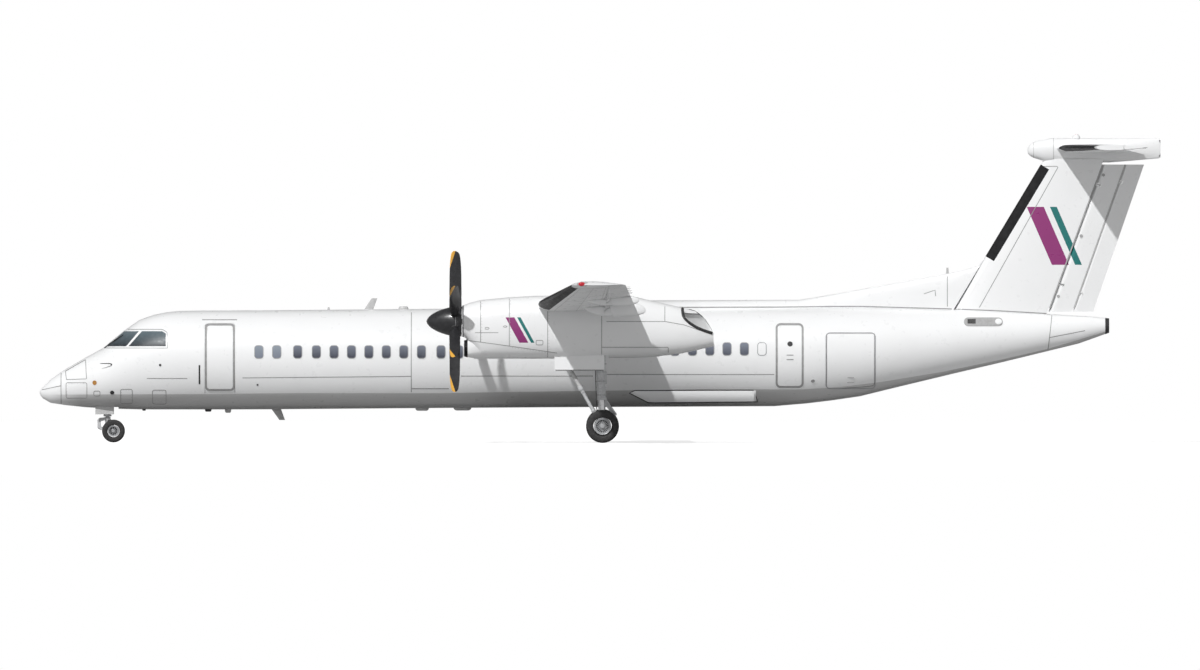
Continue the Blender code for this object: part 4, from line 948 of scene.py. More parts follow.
def wing_under(x, y):
    """Height of the wing's underside."""
    front, rear, z, thick = wing_at(y)
    t = max(0.0, min(1.0, (x - front) / (rear - front)))
    return z + (0.10 * thick * math.sin(math.pi * t) - 5 * thick * foil(t)) * (rear - front)


def build_wing_joints():
    """Skin joints along the spars and ribs, above and below, and the filler caps."""
    seams = seam_tree(plan=True)
    spread = [1.30 + (13.70 - 1.30) * i / 24 for i in range(25)]
    cap = [(-0.02, AXIS), (0.006, AXIS), (0.006, 0.045), (0.003, 0.048), (0.003, 0.058), (0.008, 0.062),
           (0.008, 0.078), (-0.02, 0.084)]
    for label, side in SIDES:
        skin = joined_skin("plain_wing", [f"wing_{label}", "wing_centre"])
        paths = [[(wing_middle(y, share)[0], side * y) for y in spread] for share in (0.17, 0.40, 0.63)]
        paths += [[(wing_middle(y, share)[0], side * y) for share in (0.17, 0.63)]
                  for y in (1.30, 3.55, 5.35, 7.10, 8.80, 10.50, 12.20, 13.70)]
        for face, start, way in (("upper", 9.0, -1.0), ("lower", 2.0, 1.0)):
            grown(f"wing_joints_{face}_{label}", seams, lines(*paths), Width=0.012, Depth=0.005, Spacing=0.12,
                  Skin=skin, Start=start, Toward=way, Finish="seam")
        bpy.data.objects.remove(skin, do_unlink=True)
        for i, y in enumerate((6.2, 8.0, 9.8)):
            x, middle = wing_middle(y, 0.30)
            at = (x, side * y, 2 * middle - wing_under(x, y))
            piece(f"fuel_cap_{label}_{i}", turned(cap, at, UP, 24), "seam")


def build_tip_lights():
    """Navigation light in a faired base on each wing tip, red on the left and green on the right."""
    for label, side in SIDES:
        mesh = frame["nodes"][f"wing_{label}"].data
        wing = BVHTree.FromPolygons([v.co for v in mesh.vertices], [p.vertices[:] for p in mesh.polygons])
        for name, x, reach, finish in (
            ("nav_light_base", -0.490, (0.180, 0.016, 0.076), "grey_paint"),
            ("nav_light", -0.523, (0.118, 0.050, 0.070), "red_lamp" if side < 0 else "green_lamp"),
        ):
            at = wing.ray_cast(Vector((x, side * 20, 4.612)), Vector((0, -side, 0)))[0]
            polars = [math.pi * (i + 0.02) / 10.04 for i in range(11)]
            piece(f"{name}_{label}", loft([[
                (at.x - reach[0] * math.cos(polar), at.y + reach[1] * math.sin(polar) * c,
                 at.z + reach[2] * math.sin(polar) * s) for s, c in once_round(20)] for polar in polars]), finish)


def build_flap_tracks():
    """Two flap-track fairings under each outer wing: a fixed front cup, and a tail that nests in it."""
    swing, edge = math.radians(35), math.radians(17.5)
    for place, y, x0, x1, low, wide in (
        ("inner", 6.10, -0.467, 1.337, 3.688, 0.105),
        ("outer", 9.00, -0.379, 1.141, 3.996, 0.085),
    ):
        front, rear, _, thick = wing_at(y)
        hinge, pin = wing_middle(y, 0.72)
        depth, nose = pin - low, wing_under(x0, y)
        roof = pin - thick * (rear - front) * 0.30 - 0.020
        for label, side in SIDES:

            def upright(x, bottom, top, half):
                return oval_ring(x, top, bottom, half, side * y, 20, 0.8)

            def leaning(turn, bottom, top, half):
                """Section in a plane that passes through the hinge line at an angle."""
                ring = upright(0, bottom, top, half)
                return [(hinge + (pin - z) * math.tan(turn), across, z) for _, across, z in ring]

            rings = []
            for share in (0.0, 0.06, 0.16, 0.32, 0.52, 0.76, 1.0):
                x = x0 + (hinge - 0.24 - x0) * share
                drop = math.sin(math.pi / 2 * min(1.0, (x - x0) / (hinge + 0.10 - x0))) ** 0.62
                bottom = nose - 0.004 - (nose - low) * drop
                half = max(0.004, wide * math.sin(math.pi / 2 * min(1.0, share * 2.0 + 0.02)) ** 0.7)
                top = min(wing_under(x, y) + 0.02, pin - 0.02)
                rings.append(upright(x, bottom, max(top, bottom + 0.01), half))
            rings += [leaning(-edge, low, roof, wide), leaning(-edge, low + 0.010, roof - 0.010, wide - 0.010),
                      upright(hinge - depth * 0.84, low + depth * 0.25, roof - 0.016, wide - 0.012)]
            piece(f"flap_track_front_{place}_{label}", loft(rings), "white", crease=40)

            rings = []
            for turn in map(math.radians, (-22, -15, -8, 0, 8, 19.4)):
                head = (pin - roof + 0.025) * math.cos(turn) / math.cos(turn - swing)
                rings.append(leaning(turn, pin - 0.975 * depth * math.cos(turn), pin - head, wide - 0.036))
            turn = edge + math.radians(3.0)
            join, end_z = depth * math.tan(turn), low + 0.165
            for share in (0.0, 0.15, 0.3, 0.45, 0.6, 0.72, 0.82, 0.9, 0.95, 0.985, 1.0):
                x = join + (x1 - hinge - join) * share
                flap_low = wing_under(min(hinge + x, rear - 0.01), y)
                bottom = end_z - max(0.004, (end_z - low) * math.sqrt(1 - share**4))
                top = end_z + max(0.004, (flap_low + 0.012 - end_z) * math.sqrt(1 - share**3.5))
                half = max(0.004, wide * math.sqrt(1 - share**3))
                rings.append(upright(hinge + x, bottom, top, half) if share else leaning(turn, bottom, top, half))
            piece(f"flap_track_tail_{place}_{label}", loft(rings), "white", f"flap_outer_{label}", crease=40)


def build_static_wicks():
    """Static wicks along the rear edges of the ailerons and the elevators, one row on each."""
    tree = Tree("static_wicks", Radius=0.004, Length=0.13, Finish="Material")
    rod = tree.add("MeshCylinder", Vertices=8, Radius="Radius", Depth="Length")
    turn = tree.add("Transform", Geometry=rod, Rotation=(0.0, math.radians(90), 0.0))
    tree.finish(tree.repeat("Geometry", turn))
    for label, side in SIDES:
        wing_row = [(wing_at(y)[1] + 0.045, side * y, wing_at(y)[2]) for y in (10.6, 11.5, 12.4, 13.1)]
        tail_row = [(15.905, side * y, 8.610) for y in (1.6, 2.8, 3.9)]
        grown(f"wing_wicks_{label}", tree, (wing_row, []), f"aileron_{label}", Finish="dark")
        grown(f"tail_wicks_{label}", tree, (tail_row, []), f"elevator_{label}", Finish="dark")


def build_fin_details(seams, fin_skin):
    """Joints and hinge fittings of fin and dorsal fin, and the fittings of the tail cone and bullet."""
    fin_lines = lines(
        [(12.98, 8.085), (13.43, 8.085), (11.11, 3.95)], [(10.43, 3.97), (11.10, 5.10)],
        [(10.175, 3.98), (10.175, 4.86)], [(9.487, 4.349), (9.816, 4.464), (9.830, 4.283)],
    )
    for label, side in SIDES:
        grown(f"fin_joints_{label}", seams, fin_lines, Width=0.020, Depth=0.010, Spacing=0.08, Finish="joint",
              **from_side(fin_skin, side))
        for i, (x, z) in enumerate(((14.745, 7.833), (14.095, 6.052), (13.427, 4.280))):
            hub = bar([(x, side * 0.02, z), (x, side * 0.155, z)], 0.045, 16)
            piece(f"rudder_fitting_{label}_{i}", hub, "grey_paint")
    cover("tail_cone_cap", "tail_cone", [((14.800, 0, 0), (-1, 0, 0))], 0.006, "dark")
    for place, z0, z1 in (("upper", 8.640, 8.850), ("lower", 8.375, 8.585)):
        piece(f"tail_lamp_{place}", block(16.360, 16.417, -0.035, 0.035, z0, z1), "dark", bevel=0.008)


def fin_half(x, z):
    """Half thickness of the fin and rudder at a point of the side view."""
    front = 10.369 + (z - 3.908) * (12.970 - 10.369) / (8.232 - 3.908)
    rear = 14.400 + (z - 3.703) * (15.955 - 14.400) / (8.185 - 3.703)
    return (rear - front) * 5 * 0.115 * foil((x - front) / (rear - front))


def build_rudder_seals():
    """Lips along both sides of the two rudder hinges, which close the gap ahead of each nose."""
    for name, (x0, z0), (x1, z1), body, finish in (
        ("fin_trailing_lip", (13.289, 3.849), (14.877, 8.199), "airframe", "grey_paint"),
        ("rudder_trailing_lip", (13.910, 3.785), (15.466, 8.167), "rudder", "pale_grey"),
    ):
        for label, side in SIDES:
            rings = []
            for z in (3.93 + (8.14 - 3.93) * i / 16 for i in range(17)):
                hinge = x0 + (z - z0) * (x1 - x0) / (z1 - z0)
                nose = hinge - fin_half(hinge, z)
                y = fin_half(nose - 0.030, z) + 0.0004
                outline = [(nose - 0.036, y), (nose - 0.034, y + 0.003), (nose + 0.006, y + 0.003), (nose + 0.008, y)]
                rings.append([(x, side * across, z) for x, across in outline])
            piece(f"{name}_{label}", loft(rings), finish, body)


def build_bullet_nose():
    """Blunt nose shell over the front of the tail bullet, with its two joints, and the beacon on top."""
    shell = loft([oval_ring(*row, count=40) for row in smooth_row(BULLET_NOSE, 4)])
    piece("bullet_nose", shell, "white", crease=50)
    for name, x in (("front", 12.701), ("rear", 13.284)):
        rings = []
        for at, lift in ((x - 0.007, -0.004), (x - 0.006, 0.003), (x + 0.006, 0.003), (x + 0.007, -0.004)):
            _, top, bottom, half = between(BULLET_NOSE, at)
            rings.append(oval_ring(at, top + lift, bottom - lift, half + lift, count=40))
        piece(f"bullet_joint_{name}", loft(rings), "seam")
    at = (13.954, 0, 8.905)
    collar = [(-0.02, AXIS), (0.030, AXIS), (0.030, 0.100), (0.014, 0.1085), (-0.02, 0.1085)]
    dome = [(0.020, AXIS), (0.1195, AXIS), (0.1195, 0.024), (0.110, 0.052), (0.092, 0.074), (0.060, 0.090),
            (0.030, 0.096), (0.020, 0.096)]
    piece("beacon_collar", turned(collar, at, UP, 32), "steel")
    piece("beacon_dome", turned(dome, at, UP, 32), "red_lamp")


# ---------------------------------------------------------------- nacelles and propellers

def nacelle_point(x, z, side, out):
    """Point of the nacelle's skin at one height, on the face that looks toward out."""
    _, top, bottom, half = between(NACELLE, x)
    up = min(1.0, abs(2 * z - top - bottom) / (top - bottom))
    return Vector((x, side * NACELLE_Y + out * half * (1 - up**2.4) ** (1 / 2.4), z))


def build_nacelle_details(seams, rivets, label, side):
    """Panel joints, screws, intake lip, exhaust lips and duct, and door seals of one nacelle."""
    y = side * NACELLE_Y
    skin = joined_skin(f"plain_nacelle_{label}", [f"cowl_{label}", f"nacelle_{label}", f"jet_pipe_{label}"])
    joints = lines(
        [(-3.476, 4.12), (-3.476, 2.93)], [(-2.641, 4.20), (-2.641, 2.82)], [(-1.522, 4.24), (-1.522, 2.50)],
        [(0.051, 3.95), (0.051, 2.52)], [(-3.813, 2.985), (-2.600, 2.820), (-1.522, 2.663), (-1.25, 2.62)],
        [(-3.640, 3.214), (-2.960, 3.214)], [(0.190, 3.540), (1.890, 3.540), (2.45, 3.44), (3.20, 3.18)],
        [(1.890, 3.540), (1.890, 3.99)], [(0.051, 2.790), (1.990, 2.790), (1.990, 2.64)],
        rounded(-3.350, -3.225, 3.315, 3.365, 0.020) + [(-3.225, 3.345)],
        rounded(-2.820, -2.705, 3.372, 3.412, 0.018) + [(-2.705, 3.395)],
        rounded(-1.860, -1.660, 2.860, 2.990, 0.020) + [(-1.660, 2.970)],
    )
    screws = lines([(-3.440, 4.06), (-3.440, 3.02)], [(-2.605, 4.14), (-2.605, 2.88)],
                   [(-1.486, 3.90), (-1.486, 2.72)], [(-2.55, 2.775), (-1.60, 2.64)])
    for face, out in (("outer", side), ("inner", -side)):
        inputs = from_side(skin, out, y, 2.0)
        grown(f"nacelle_joints_{face}_{label}", seams, joints, Width=0.018, Depth=0.008, Spacing=0.04,
              Finish="joint", **inputs)
        grown(f"cowl_screws_{face}_{label}", rivets, screws, Spacing=0.085, Radius=0.008, Proud=0.006,
              Finish="steel", **inputs)
        rim, roll = EXHAUST_RIMS[face]
        row = [nacelle_point(x, z, side, out) for x, z in smooth_row(rim, 3)]
        piece(f"exhaust_lip_{face}_{label}", bar(row, roll), "dark")
        edge = y + out * 0.3005
        seal = block(-1.300, 0.110, *sorted((edge, edge + out * 0.006)), 2.112, 2.132)
        piece(f"gear_door_seal_{face}_{label}", seal, "dark", bevel=0.002)
    bpy.data.objects.remove(skin, do_unlink=True)
    rings = []
    for z, x in ((3.17, 3.25), (3.28, 3.21), (3.40, 3.13), (3.52, 3.05), (3.62, 2.99), (3.70, 2.91), (3.75, 2.85)):
        away = y - side * 0.24 * (1 - ((z - 3.17) / 0.60) ** 1.6)
        rings.append([(2.30, away, z), (x, away, z), (x, away + 0.006, z), (2.30, away + 0.006, z)])
    piece(f"exhaust_duct_{label}", loft(rings), "white", crease=50)
    cowl = f"cowl_{label}"
    cover(f"chin_lip_{label}", cowl, [((-3.855, 0, 0), (1, 0, 0)), ((0, 0, 3.000), (0, 0, 1))], 0.004, "boot")
    cover(f"cowl_ring_{label}", cowl, [((-3.965, 0, 0), (1, 0, 0)), ((0, 0, 3.020), (0, 0, -1))], 0.003, "steel")
    slats = [block(-3.52, -3.50, y - 0.27, y + 0.27, z, z + 0.012) for z in (2.60 + 0.055 * i for i in range(7))]
    piece(f"intake_screen_{label}", joined(*slats), "steel")


def blade_ring(y, turn, out, half_chord, half_thick, twist):
    """One section of a propeller blade: round at its root, an aerofoil further out."""
    angle = math.radians(twist)
    round_root = max(0.0, min(1.0, (0.80 - out) / 0.30))
    ring = []
    for s, c in once_round(28):
        t = (1 - c) / 2
        across = half_thick * math.copysign(abs(s) * round_root + foil(t) / 0.10 * (1 - round_root), s)
        along = half_chord * (2 * t - 1)
        aside = along * math.sin(angle) + across * math.cos(angle)
        ring.append((PROP_X + along * math.cos(angle) - across * math.sin(angle),
                     y + (aside * math.cos(turn) + out * math.sin(turn)),
                     PROP_Z + (-aside * math.sin(turn) + out * math.cos(turn))))
    return ring


def build_propeller(label, side):
    """Spinner, shaft and six swept blades, with their seams, cuffs and bolts."""
    y, body = side * NACELLE_Y, f"propeller_{label}"
    centre = (PROP_X, y, PROP_Z)
    spinner = [(-5.058, 0.004), (-5.030, 0.075), (-4.950, 0.165), (-4.800, 0.265), (-4.600, 0.350),
               (-4.400, 0.405), (-4.200, 0.435), (-4.030, 0.440)]
    outline = [(x - PROP_X, radius) for x, radius in smooth_row(spinner, 6) + [(-4.030, AXIS), (-5.0575, AXIS)]]
    cap = piece(f"spinner_{label}", turned(outline, centre, (1, 0, 0), 72), "propeller", body)
    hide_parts(f"propeller_{label}")
    shaft = bar([(-4.10, y, PROP_Z), (-3.32, y, PROP_Z)], 0.0798, 24)
    piece(f"propeller_shaft_{label}", shaft, "steel", body)
    cuff = [(0.395, 0.0905), (0.395, 0.118), (0.425, 0.112), (0.455, 0.098), (0.455, 0.0905)]
    for i in range(6):
        turn = 2 * math.pi * i / 6
        rings = [blade_ring(y, turn, *row) for row in smooth_row(BLADE, 4)]
        piece(f"blade_{i}_{label}", loft(rings), "propeller", body, crease=60)
        out = (0, math.sin(turn), math.cos(turn))
        piece(f"blade_cuff_{i}_{label}", turned(cuff, centre, out, 32), "rubber", body)
    band = turned([(0.020, 0.4345), (0.020, 0.4375), (0.034, 0.4382), (0.034, 0.4345)], centre, (1, 0, 0), 72)
    piece(f"spinner_seam_{label}", band, "steel", body)
    tree = Tree("spinner_bolts", Count=24, Ring=0.437, Radius=0.008, Centre=(0.0, 0.0, 0.0), Finish="Material")
    circle = tree.add("MeshCircle", Vertices="Count", Radius="Ring")
    upright = tree.add("Transform", Geometry=circle, Rotation=(0.0, math.radians(90), 0.0))
    bolt = tree.add("MeshIcoSphere", Radius="Radius", Subdivisions=2)
    bolts = tree.add("InstanceOnPoints", Points=upright, Instance=bolt)
    tree.finish(tree.add("Transform", Geometry=bolts, Translation="Centre"))
    grown(f"spinner_bolts_{label}", tree, ONE_POINT, body, Centre=(-4.145, y, PROP_Z), Ring=0.4365, Radius=0.007,
          Finish="steel")


# ---------------------------------------------------------------- landing gear

def tyre_outline(radius, seat, half):
    """Closed section of a tyre: sidewalls, rounded shoulders and a tread with four grooves."""
    middle, height = (radius + seat) / 2, (radius - seat) / 2
    right = []
    for a in (math.radians(-52 + 142 * i / 14) for i in range(15)):
        up = middle + height * math.copysign(abs(math.sin(a)) ** 0.80, math.sin(a))
        right.append((half * abs(math.cos(a)) ** 0.80, up))
    right = [p for p in right if p[0] > half * 0.62]
    right[0] = (right[0][0], max(right[0][1], seat + 0.0005))
    crown = [right[-1]]
    for groove in (1.25, 0.42, -0.42, -1.25):
        crown += [(half * 0.36 * groove + off, radius - drop)
                  for off, drop in ((0.006, 0.0006), (0.003, 0.0085), (-0.003, 0.0085), (-0.006, 0.0006))]
    return right[:-1] + crown + [(-across, up) for across, up in right[::-1]]


def build_tyre(name, node, centre, radius, seat, half, body):
    """One tyre with circumferential grooves and a raised band on each sidewall."""
    axle = (0, 1, 0)
    tyre = piece(name, turned(tyre_outline(radius, seat, half), centre, axle, 72), "tyre", body, crease=50)
    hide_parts(node)
    rim = seat + (radius - seat) * 0.16
    for place, sign in PAIR:
        wide, narrow = sign * (half * 0.90), sign * (half * 0.80)
        ring = turned([(wide, rim), (wide, rim + 0.014), (narrow, rim + 0.014), (narrow, rim)], centre, axle, 72)
        piece(f"{name}_bead_{place}", ring, "tyre", body)


def build_wheel(bars, bolts, name, body, centre, seat, half, out, count):
    """Rim flange, vented web with spokes, hub cap and bolts on the outer face of a wheel."""
    x, y, z = centre
    face, web = y + out * half * 0.86, y + out * half * 0.30
    for part, finish, outline in (
        ("flange", "hub", [(face, -0.030, 0.86), (face, 0.004, 0.88), (face, 0.010, 0.92), (face, 0.010, 0.975),
                           (face, 0.002, 0.998), (face, -0.030, 0.998)]),
        ("well", "dark", [(web, -0.004, 0.30), (web, 0.003, 0.30), (web, 0.003, 0.80), (face, -0.028, 0.86),
                          (face, -0.034, 0.86), (web, -0.004, 0.81)]),
        ("cap", "hub", [(web, 0.0, 0.0), (web, half * 0.52, 0.0), (web, half * 0.52, 0.17), (web, half * 0.44, 0.22),
                        (web, half * 0.20, 0.24), (web, half * 0.12, 0.36), (web, 0.0, 0.38)]),
        ("rib", "hub", [(web, 0.0, 0.72), (web, half * 0.26, 0.73), (web, half * 0.26, 0.80), (web, 0.0, 0.81)]),
    ):
        profile = [(base + out * lift - y, max(AXIS, seat * share)) for base, lift, share in outline]
        piece(f"{name}_{part}", turned(profile, centre, (0, 1, 0), 64), finish, body)
    for part, tree, number, ring, size, lift, finish in (
        ("spokes", bars, count, 0.60, (seat * 0.46, seat * 0.075, half * 0.20), 0.10, "hub"),
        ("bolts", bolts, 10, 0.30, (seat * 0.035, 0.0, half * 0.16), 0.22, "steel"),
        ("flange_bolts", bolts, 12, 0.765, (seat * 0.022, 0.0, half * 0.12), 0.28, "steel"),
    ):
        grown(f"{name}_{part}", tree, ONE_POINT, body, Count=number, Ring=seat * ring, Size=size,
              Centre=(x, web + out * half * lift, z), Finish=finish)


def collar(name, point, axis, inner, outer, width, body="airframe"):
    """A ring round a leg or strut, with chamfered edges."""
    h, c = width / 2, min(0.006, width / 4)
    profile = [(-h, inner), (-h, outer - c), (-h + c, outer), (h - c, outer), (h, outer - c), (h, inner)]
    piece(name, turned(profile, point, axis, 40), "gear", body)


def cross_pins(y, *pins):
    """Pins across a leg, each given by its place in side view, its half length, its radius and its roundness."""
    return joined(*(bar([(x, y - half, z), (x, y + half, z)], radius, count) for x, z, half, radius, count in pins))


def build_main_gear(bars, bolts, label, side):
    """Collars, oleo, links, lines and brakes of one main gear, and its wheels and tyres."""
    y, wheels = side * NACELLE_Y, f"main_wheel_pair_{label}"
    for place, sign in PAIR:
        centre = (0.075, y + sign * 0.270, 0.483)
        build_tyre(f"tyre_{label}_{place}", f"main_{label}_tyre_{place}", centre, 0.483, 0.250, 0.130, wheels)
        build_wheel(bars, bolts, f"wheel_{label}_{place}", wheels, centre, 0.250, 0.130, sign, 20)
        brake = turned([(-0.070, 0.115), (-0.070, 0.180), (-0.045, 0.190), (0.030, 0.190), (0.030, 0.115)],
                       (0.075, y + sign * 0.165, 0.483), (0, -sign, 0), 40)
        piece(f"brake_{label}_{place}", brake, "dark", wheels)
    low, high = Vector((0.075, y, 0.36)), Vector((-0.005, y, 3.094))
    axis = high - low

    def on_leg(z):
        return low + axis * ((z - low.z) / (high.z - low.z))

    piece(f"oleo_{label}", bar([on_leg(0.80), on_leg(1.275)], 0.104, 32), "chrome")
    for i, (z, r, w) in enumerate(((0.79, 0.128, 0.05), (1.285, 0.150, 0.07), (1.62, 0.160, 0.035),
                                   (2.02, 0.168, 0.05), (2.09, 0.162, 0.02))):
        collar(f"leg_collar_{label}_{i}", on_leg(z), axis, 0.080, r, w)
    actuator = joined(block(0.075, 0.205, y - 0.075, y + 0.075, 1.72, 2.08),
                      block(0.060, 0.165, y - 0.055, y + 0.055, 1.40, 1.66))
    piece(f"leg_actuator_{label}", actuator, "gear", bevel=0.018)
    pins = cross_pins(y, (0.19, 1.235, 0.075, 0.030, 20), (0.455, 0.83, 0.075, 0.034, 20),
                      (0.125, 0.755, 0.085, 0.030, 20))
    piece(f"torque_link_pins_{label}", pins, "steel")
    links = [bar([(x0, s, z0), (x1, s, z1)], 0.022, 14) for s in (y - 0.052, y + 0.052)
             for x0, z0, x1, z1 in ((0.19, 1.235, 0.455, 0.83), (0.455, 0.83, 0.125, 0.755))]
    piece(f"torque_link_arms_{label}", joined(*links), "gear")
    top, foot = Vector((-1.23, y, 2.80)), Vector((-0.120, y, 0.80))
    run = foot - top
    for i, (share, r, w) in enumerate(((0.30, 0.072, 0.06), (0.60, 0.085, 0.12), (0.66, 0.070, 0.03),
                                       (0.93, 0.066, 0.05))):
        collar(f"brace_collar_{label}_{i}", top + run * share, run, 0.048, r, w)
    piece(f"brace_sleeve_{label}", bar([top + run * 0.36, top + run * 0.60], 0.060, 24), "pale_grey")
    hose = ((-0.10, 0.10, 2.70), (-0.13, 0.125, 2.30), (-0.125, 0.13, 1.80), (-0.105, 0.13, 1.32),
            (-0.10, 0.155, 1.02), (-0.03, 0.150, 0.80), (0.02, 0.125, 0.66))
    hoses = [bar(smooth_row([(x, y + sign * off, z) for x, off, z in hose], 5), 0.011, 10) for sign in (-1, 1)]
    piece(f"brake_hoses_{label}", joined(*hoses), "rubber")
    clip = [(-0.012, 0.10), (-0.012, 0.176), (0.012, 0.176), (0.012, 0.10)]
    clips = [turned(clip, on_leg(z), axis, 28) for z in (2.30, 1.80, 1.40)]
    piece(f"hose_clips_{label}", joined(*clips), "steel")
    piece(f"axle_barrel_{label}", cross_pins(y, (0.075, 0.483, 0.155, 0.112, 28)), "gear")


def build_nose_gear(bars, bolts):
    """Collars, links, lights and steering pipes of the nose gear, and its wheels and tyres."""
    for place, sign in PAIR:
        centre = (-14.250, sign * 0.175, 0.334)
        build_tyre(f"nose_tyre_fine_{place}", f"nose_tyre_{place}", centre, 0.334, 0.165, 0.085, "nose_wheel_pair")
        build_wheel(bars, bolts, f"nose_wheel_{place}", "nose_wheel_pair", centre, 0.165, 0.085, sign, 10)
    strut = Vector((-14.425, 0, 0))
    for i, (z, r, w) in enumerate(((0.792, 0.118, 0.05), (0.90, 0.112, 0.025), (1.06, 0.118, 0.04))):
        collar(f"nose_collar_{i}", strut + UP * z, UP, 0.098, r, w)
    collar("nose_fork_collar", strut + UP * 0.724, UP, 0.058, 0.092, 0.040, "nose_fork")
    piece("nose_oleo", bar([(-14.425, 0, 0.60), (-14.425, 0, 0.700)], 0.068, 28), "chrome", "nose_fork")
    pins = cross_pins(0, (-14.665, 0.690, 0.062, 0.022, 16), (-14.690, 0.420, 0.062, 0.022, 16),
                      (-14.250, 0.334, 0.085, 0.060, 24))
    piece("nose_link_pins", pins, "steel", "nose_fork")
    lamp_at, ahead = (-14.560, 0.0, 0.960), (-1, 0, 0)
    lamp = [(-0.030, AXIS), (0.045, AXIS), (0.052, 0.040), (0.050, 0.058), (-0.010, 0.060), (-0.030, 0.035)]
    shell = [(-0.045, AXIS), (-0.045, 0.030), (-0.012, 0.064), (0.040, 0.066), (0.040, 0.0605), (-0.008, 0.0605),
             (-0.030, 0.036), (-0.031, AXIS)]
    piece("taxi_lamp", turned(lamp, lamp_at, ahead, 32), "lamp")
    piece("taxi_lamp_shell", turned(shell, lamp_at, ahead, 32), "gear")
    jack = joined(cross_pins(0, (-14.36, 1.00, 0.145, 0.034, 20)), block(-14.40, -14.30, -0.055, 0.055, 0.945, 1.055))
    piece("steering_jack", jack, "gear", bevel=0.008)
    hose = ((-14.50, 0.060, 1.15), (-14.545, 0.075, 0.95), (-14.555, 0.080, 0.88), (-14.52, 0.075, 0.80))
    hoses = [bar(smooth_row([(x, sign * off, z) for x, off, z in hose], 5), 0.008, 10) for sign in (-1, 1)]
    piece("nose_hoses", joined(*hoses), "rubber")


# ---------------------------------------------------------------- entry

def build_entry():
    """Lining, floor and lamp of the entry behind the passenger door, and the inner door's outline."""
    x0, x1 = -11.504, -10.736
    back, floor, head = -0.450, 1.620, 3.369
    rear, foot, top = back - 0.012, floor + 0.008, head - 0.001
    for name, shape, finish in (
        ("entry_floor", block(x0, x1, -1.085, back, floor, foot), "carpet"),
        ("entry_wall", block(x0, x1, rear, back - 0.001, foot, top), "lining"),
        ("entry_side_front", block(x0 + 0.001, x0 + 0.012, -1.060, rear, foot, top), "lining"),
        ("entry_side_rear", block(x1 - 0.012, x1 - 0.001, -1.060, rear, foot, top), "lining"),
        ("entry_ceiling", block(x0 + 0.012, x1 - 0.012, -0.900, rear, head - 0.014, top), "lining"),
        ("inner_door_line", joined(
            block(-11.30, -11.285, back - 0.020, rear, floor + 0.05, head - 0.10),
            block(-10.955, -10.94, back - 0.020, rear, floor + 0.05, head - 0.10),
            block(-11.30, -10.94, back - 0.020, rear, head - 0.115, head - 0.10)), "dark"),
    ):
        piece(name, shape, finish)
    lamp = block(x0 + 0.25, x1 - 0.25, -0.75, -0.62, head - 0.030, head - 0.014)
    piece("entry_lamp", lamp, "lamp", bevel=0.005)


def build_door_steps():
    """Grip strips and bright nosings on the treads of the passenger door."""
    tree = Tree("step_grips", Count=6, Gap=0.034, Size=(0.60, 0.006, 0.016), Lean=0.0, Finish="Material")
    row = tree.add("MeshLine", Count="Count", Offset=tree.vector(Z="Gap"))
    grips = tree.repeat(row, tree.add("MeshCube", Size="Size"))
    leaned = tree.add("Transform", Geometry=grips, Rotation=tree.vector(X="Lean"))
    tree.finish(tree.repeat("Geometry", leaned))
    lean = math.radians(130 - 92)
    up, out = Vector((0, math.sin(lean), math.cos(lean))), Vector((0, math.cos(lean), -math.sin(lean)))
    _, top, bottom, half = between(HULL, -11.12)
    places, nosings = [], []
    for z in (1.450 + 0.36 + 0.29 * i for i in range(5)):
        share = (z - (top + bottom) / 2) / ((top - bottom) / 2)
        y = -(half * math.sqrt(1 - share * share) - 0.060)
        places.append(Vector((-11.12, y, z)) - out * 0.003 + up * 0.050)
        a = Vector((0, y, z)) + up * 0.240
        b = a + out * 0.030
        nosings.append(loft([
            [(x, a.y - up.z * 0.002, a.z + up.y * 0.002), (x, a.y + up.y * 0.008, a.z + up.z * 0.008),
             (x, b.y + up.y * 0.008, b.z + up.z * 0.008), (x, b.y + up.z * 0.002, b.z - up.y * 0.002)]
            for x in (-11.45, -10.79)]))
    grown("step_grips", tree, (places, []), "passenger_door", Lean=-lean, Finish="rubber")
    piece("step_nosings", joined(*nosings), "amber", "passenger_door")


# ---------------------------------------------------------------- seams, windows and paint

def build_windows(skin):
    """The cabin window rows on both sides."""
    tree = window_tree()
    points = [(x, 2.650 + (0.086 * max(0.0, min(1.0, (x + 4.0) / 7.0)))) for x in CABIN_WINDOWS]
    for label, side in SIDES:
        for name, places, glass in (
            ("cabin_windows", points[2:], "cabin_glass"),
            # The two front windows get lighter glass
            ("cabin_windows_blinds_down", points[:2], "cabin_glass_light"),
            ("blanked_window", [(4.738, 2.736)], "white"),
        ):
            grown(f"{name}_{label}", tree, (places, []), true_normal=section_normal(HULL), Glass=glass,
                  Finish="frame", **from_side(skin, side))


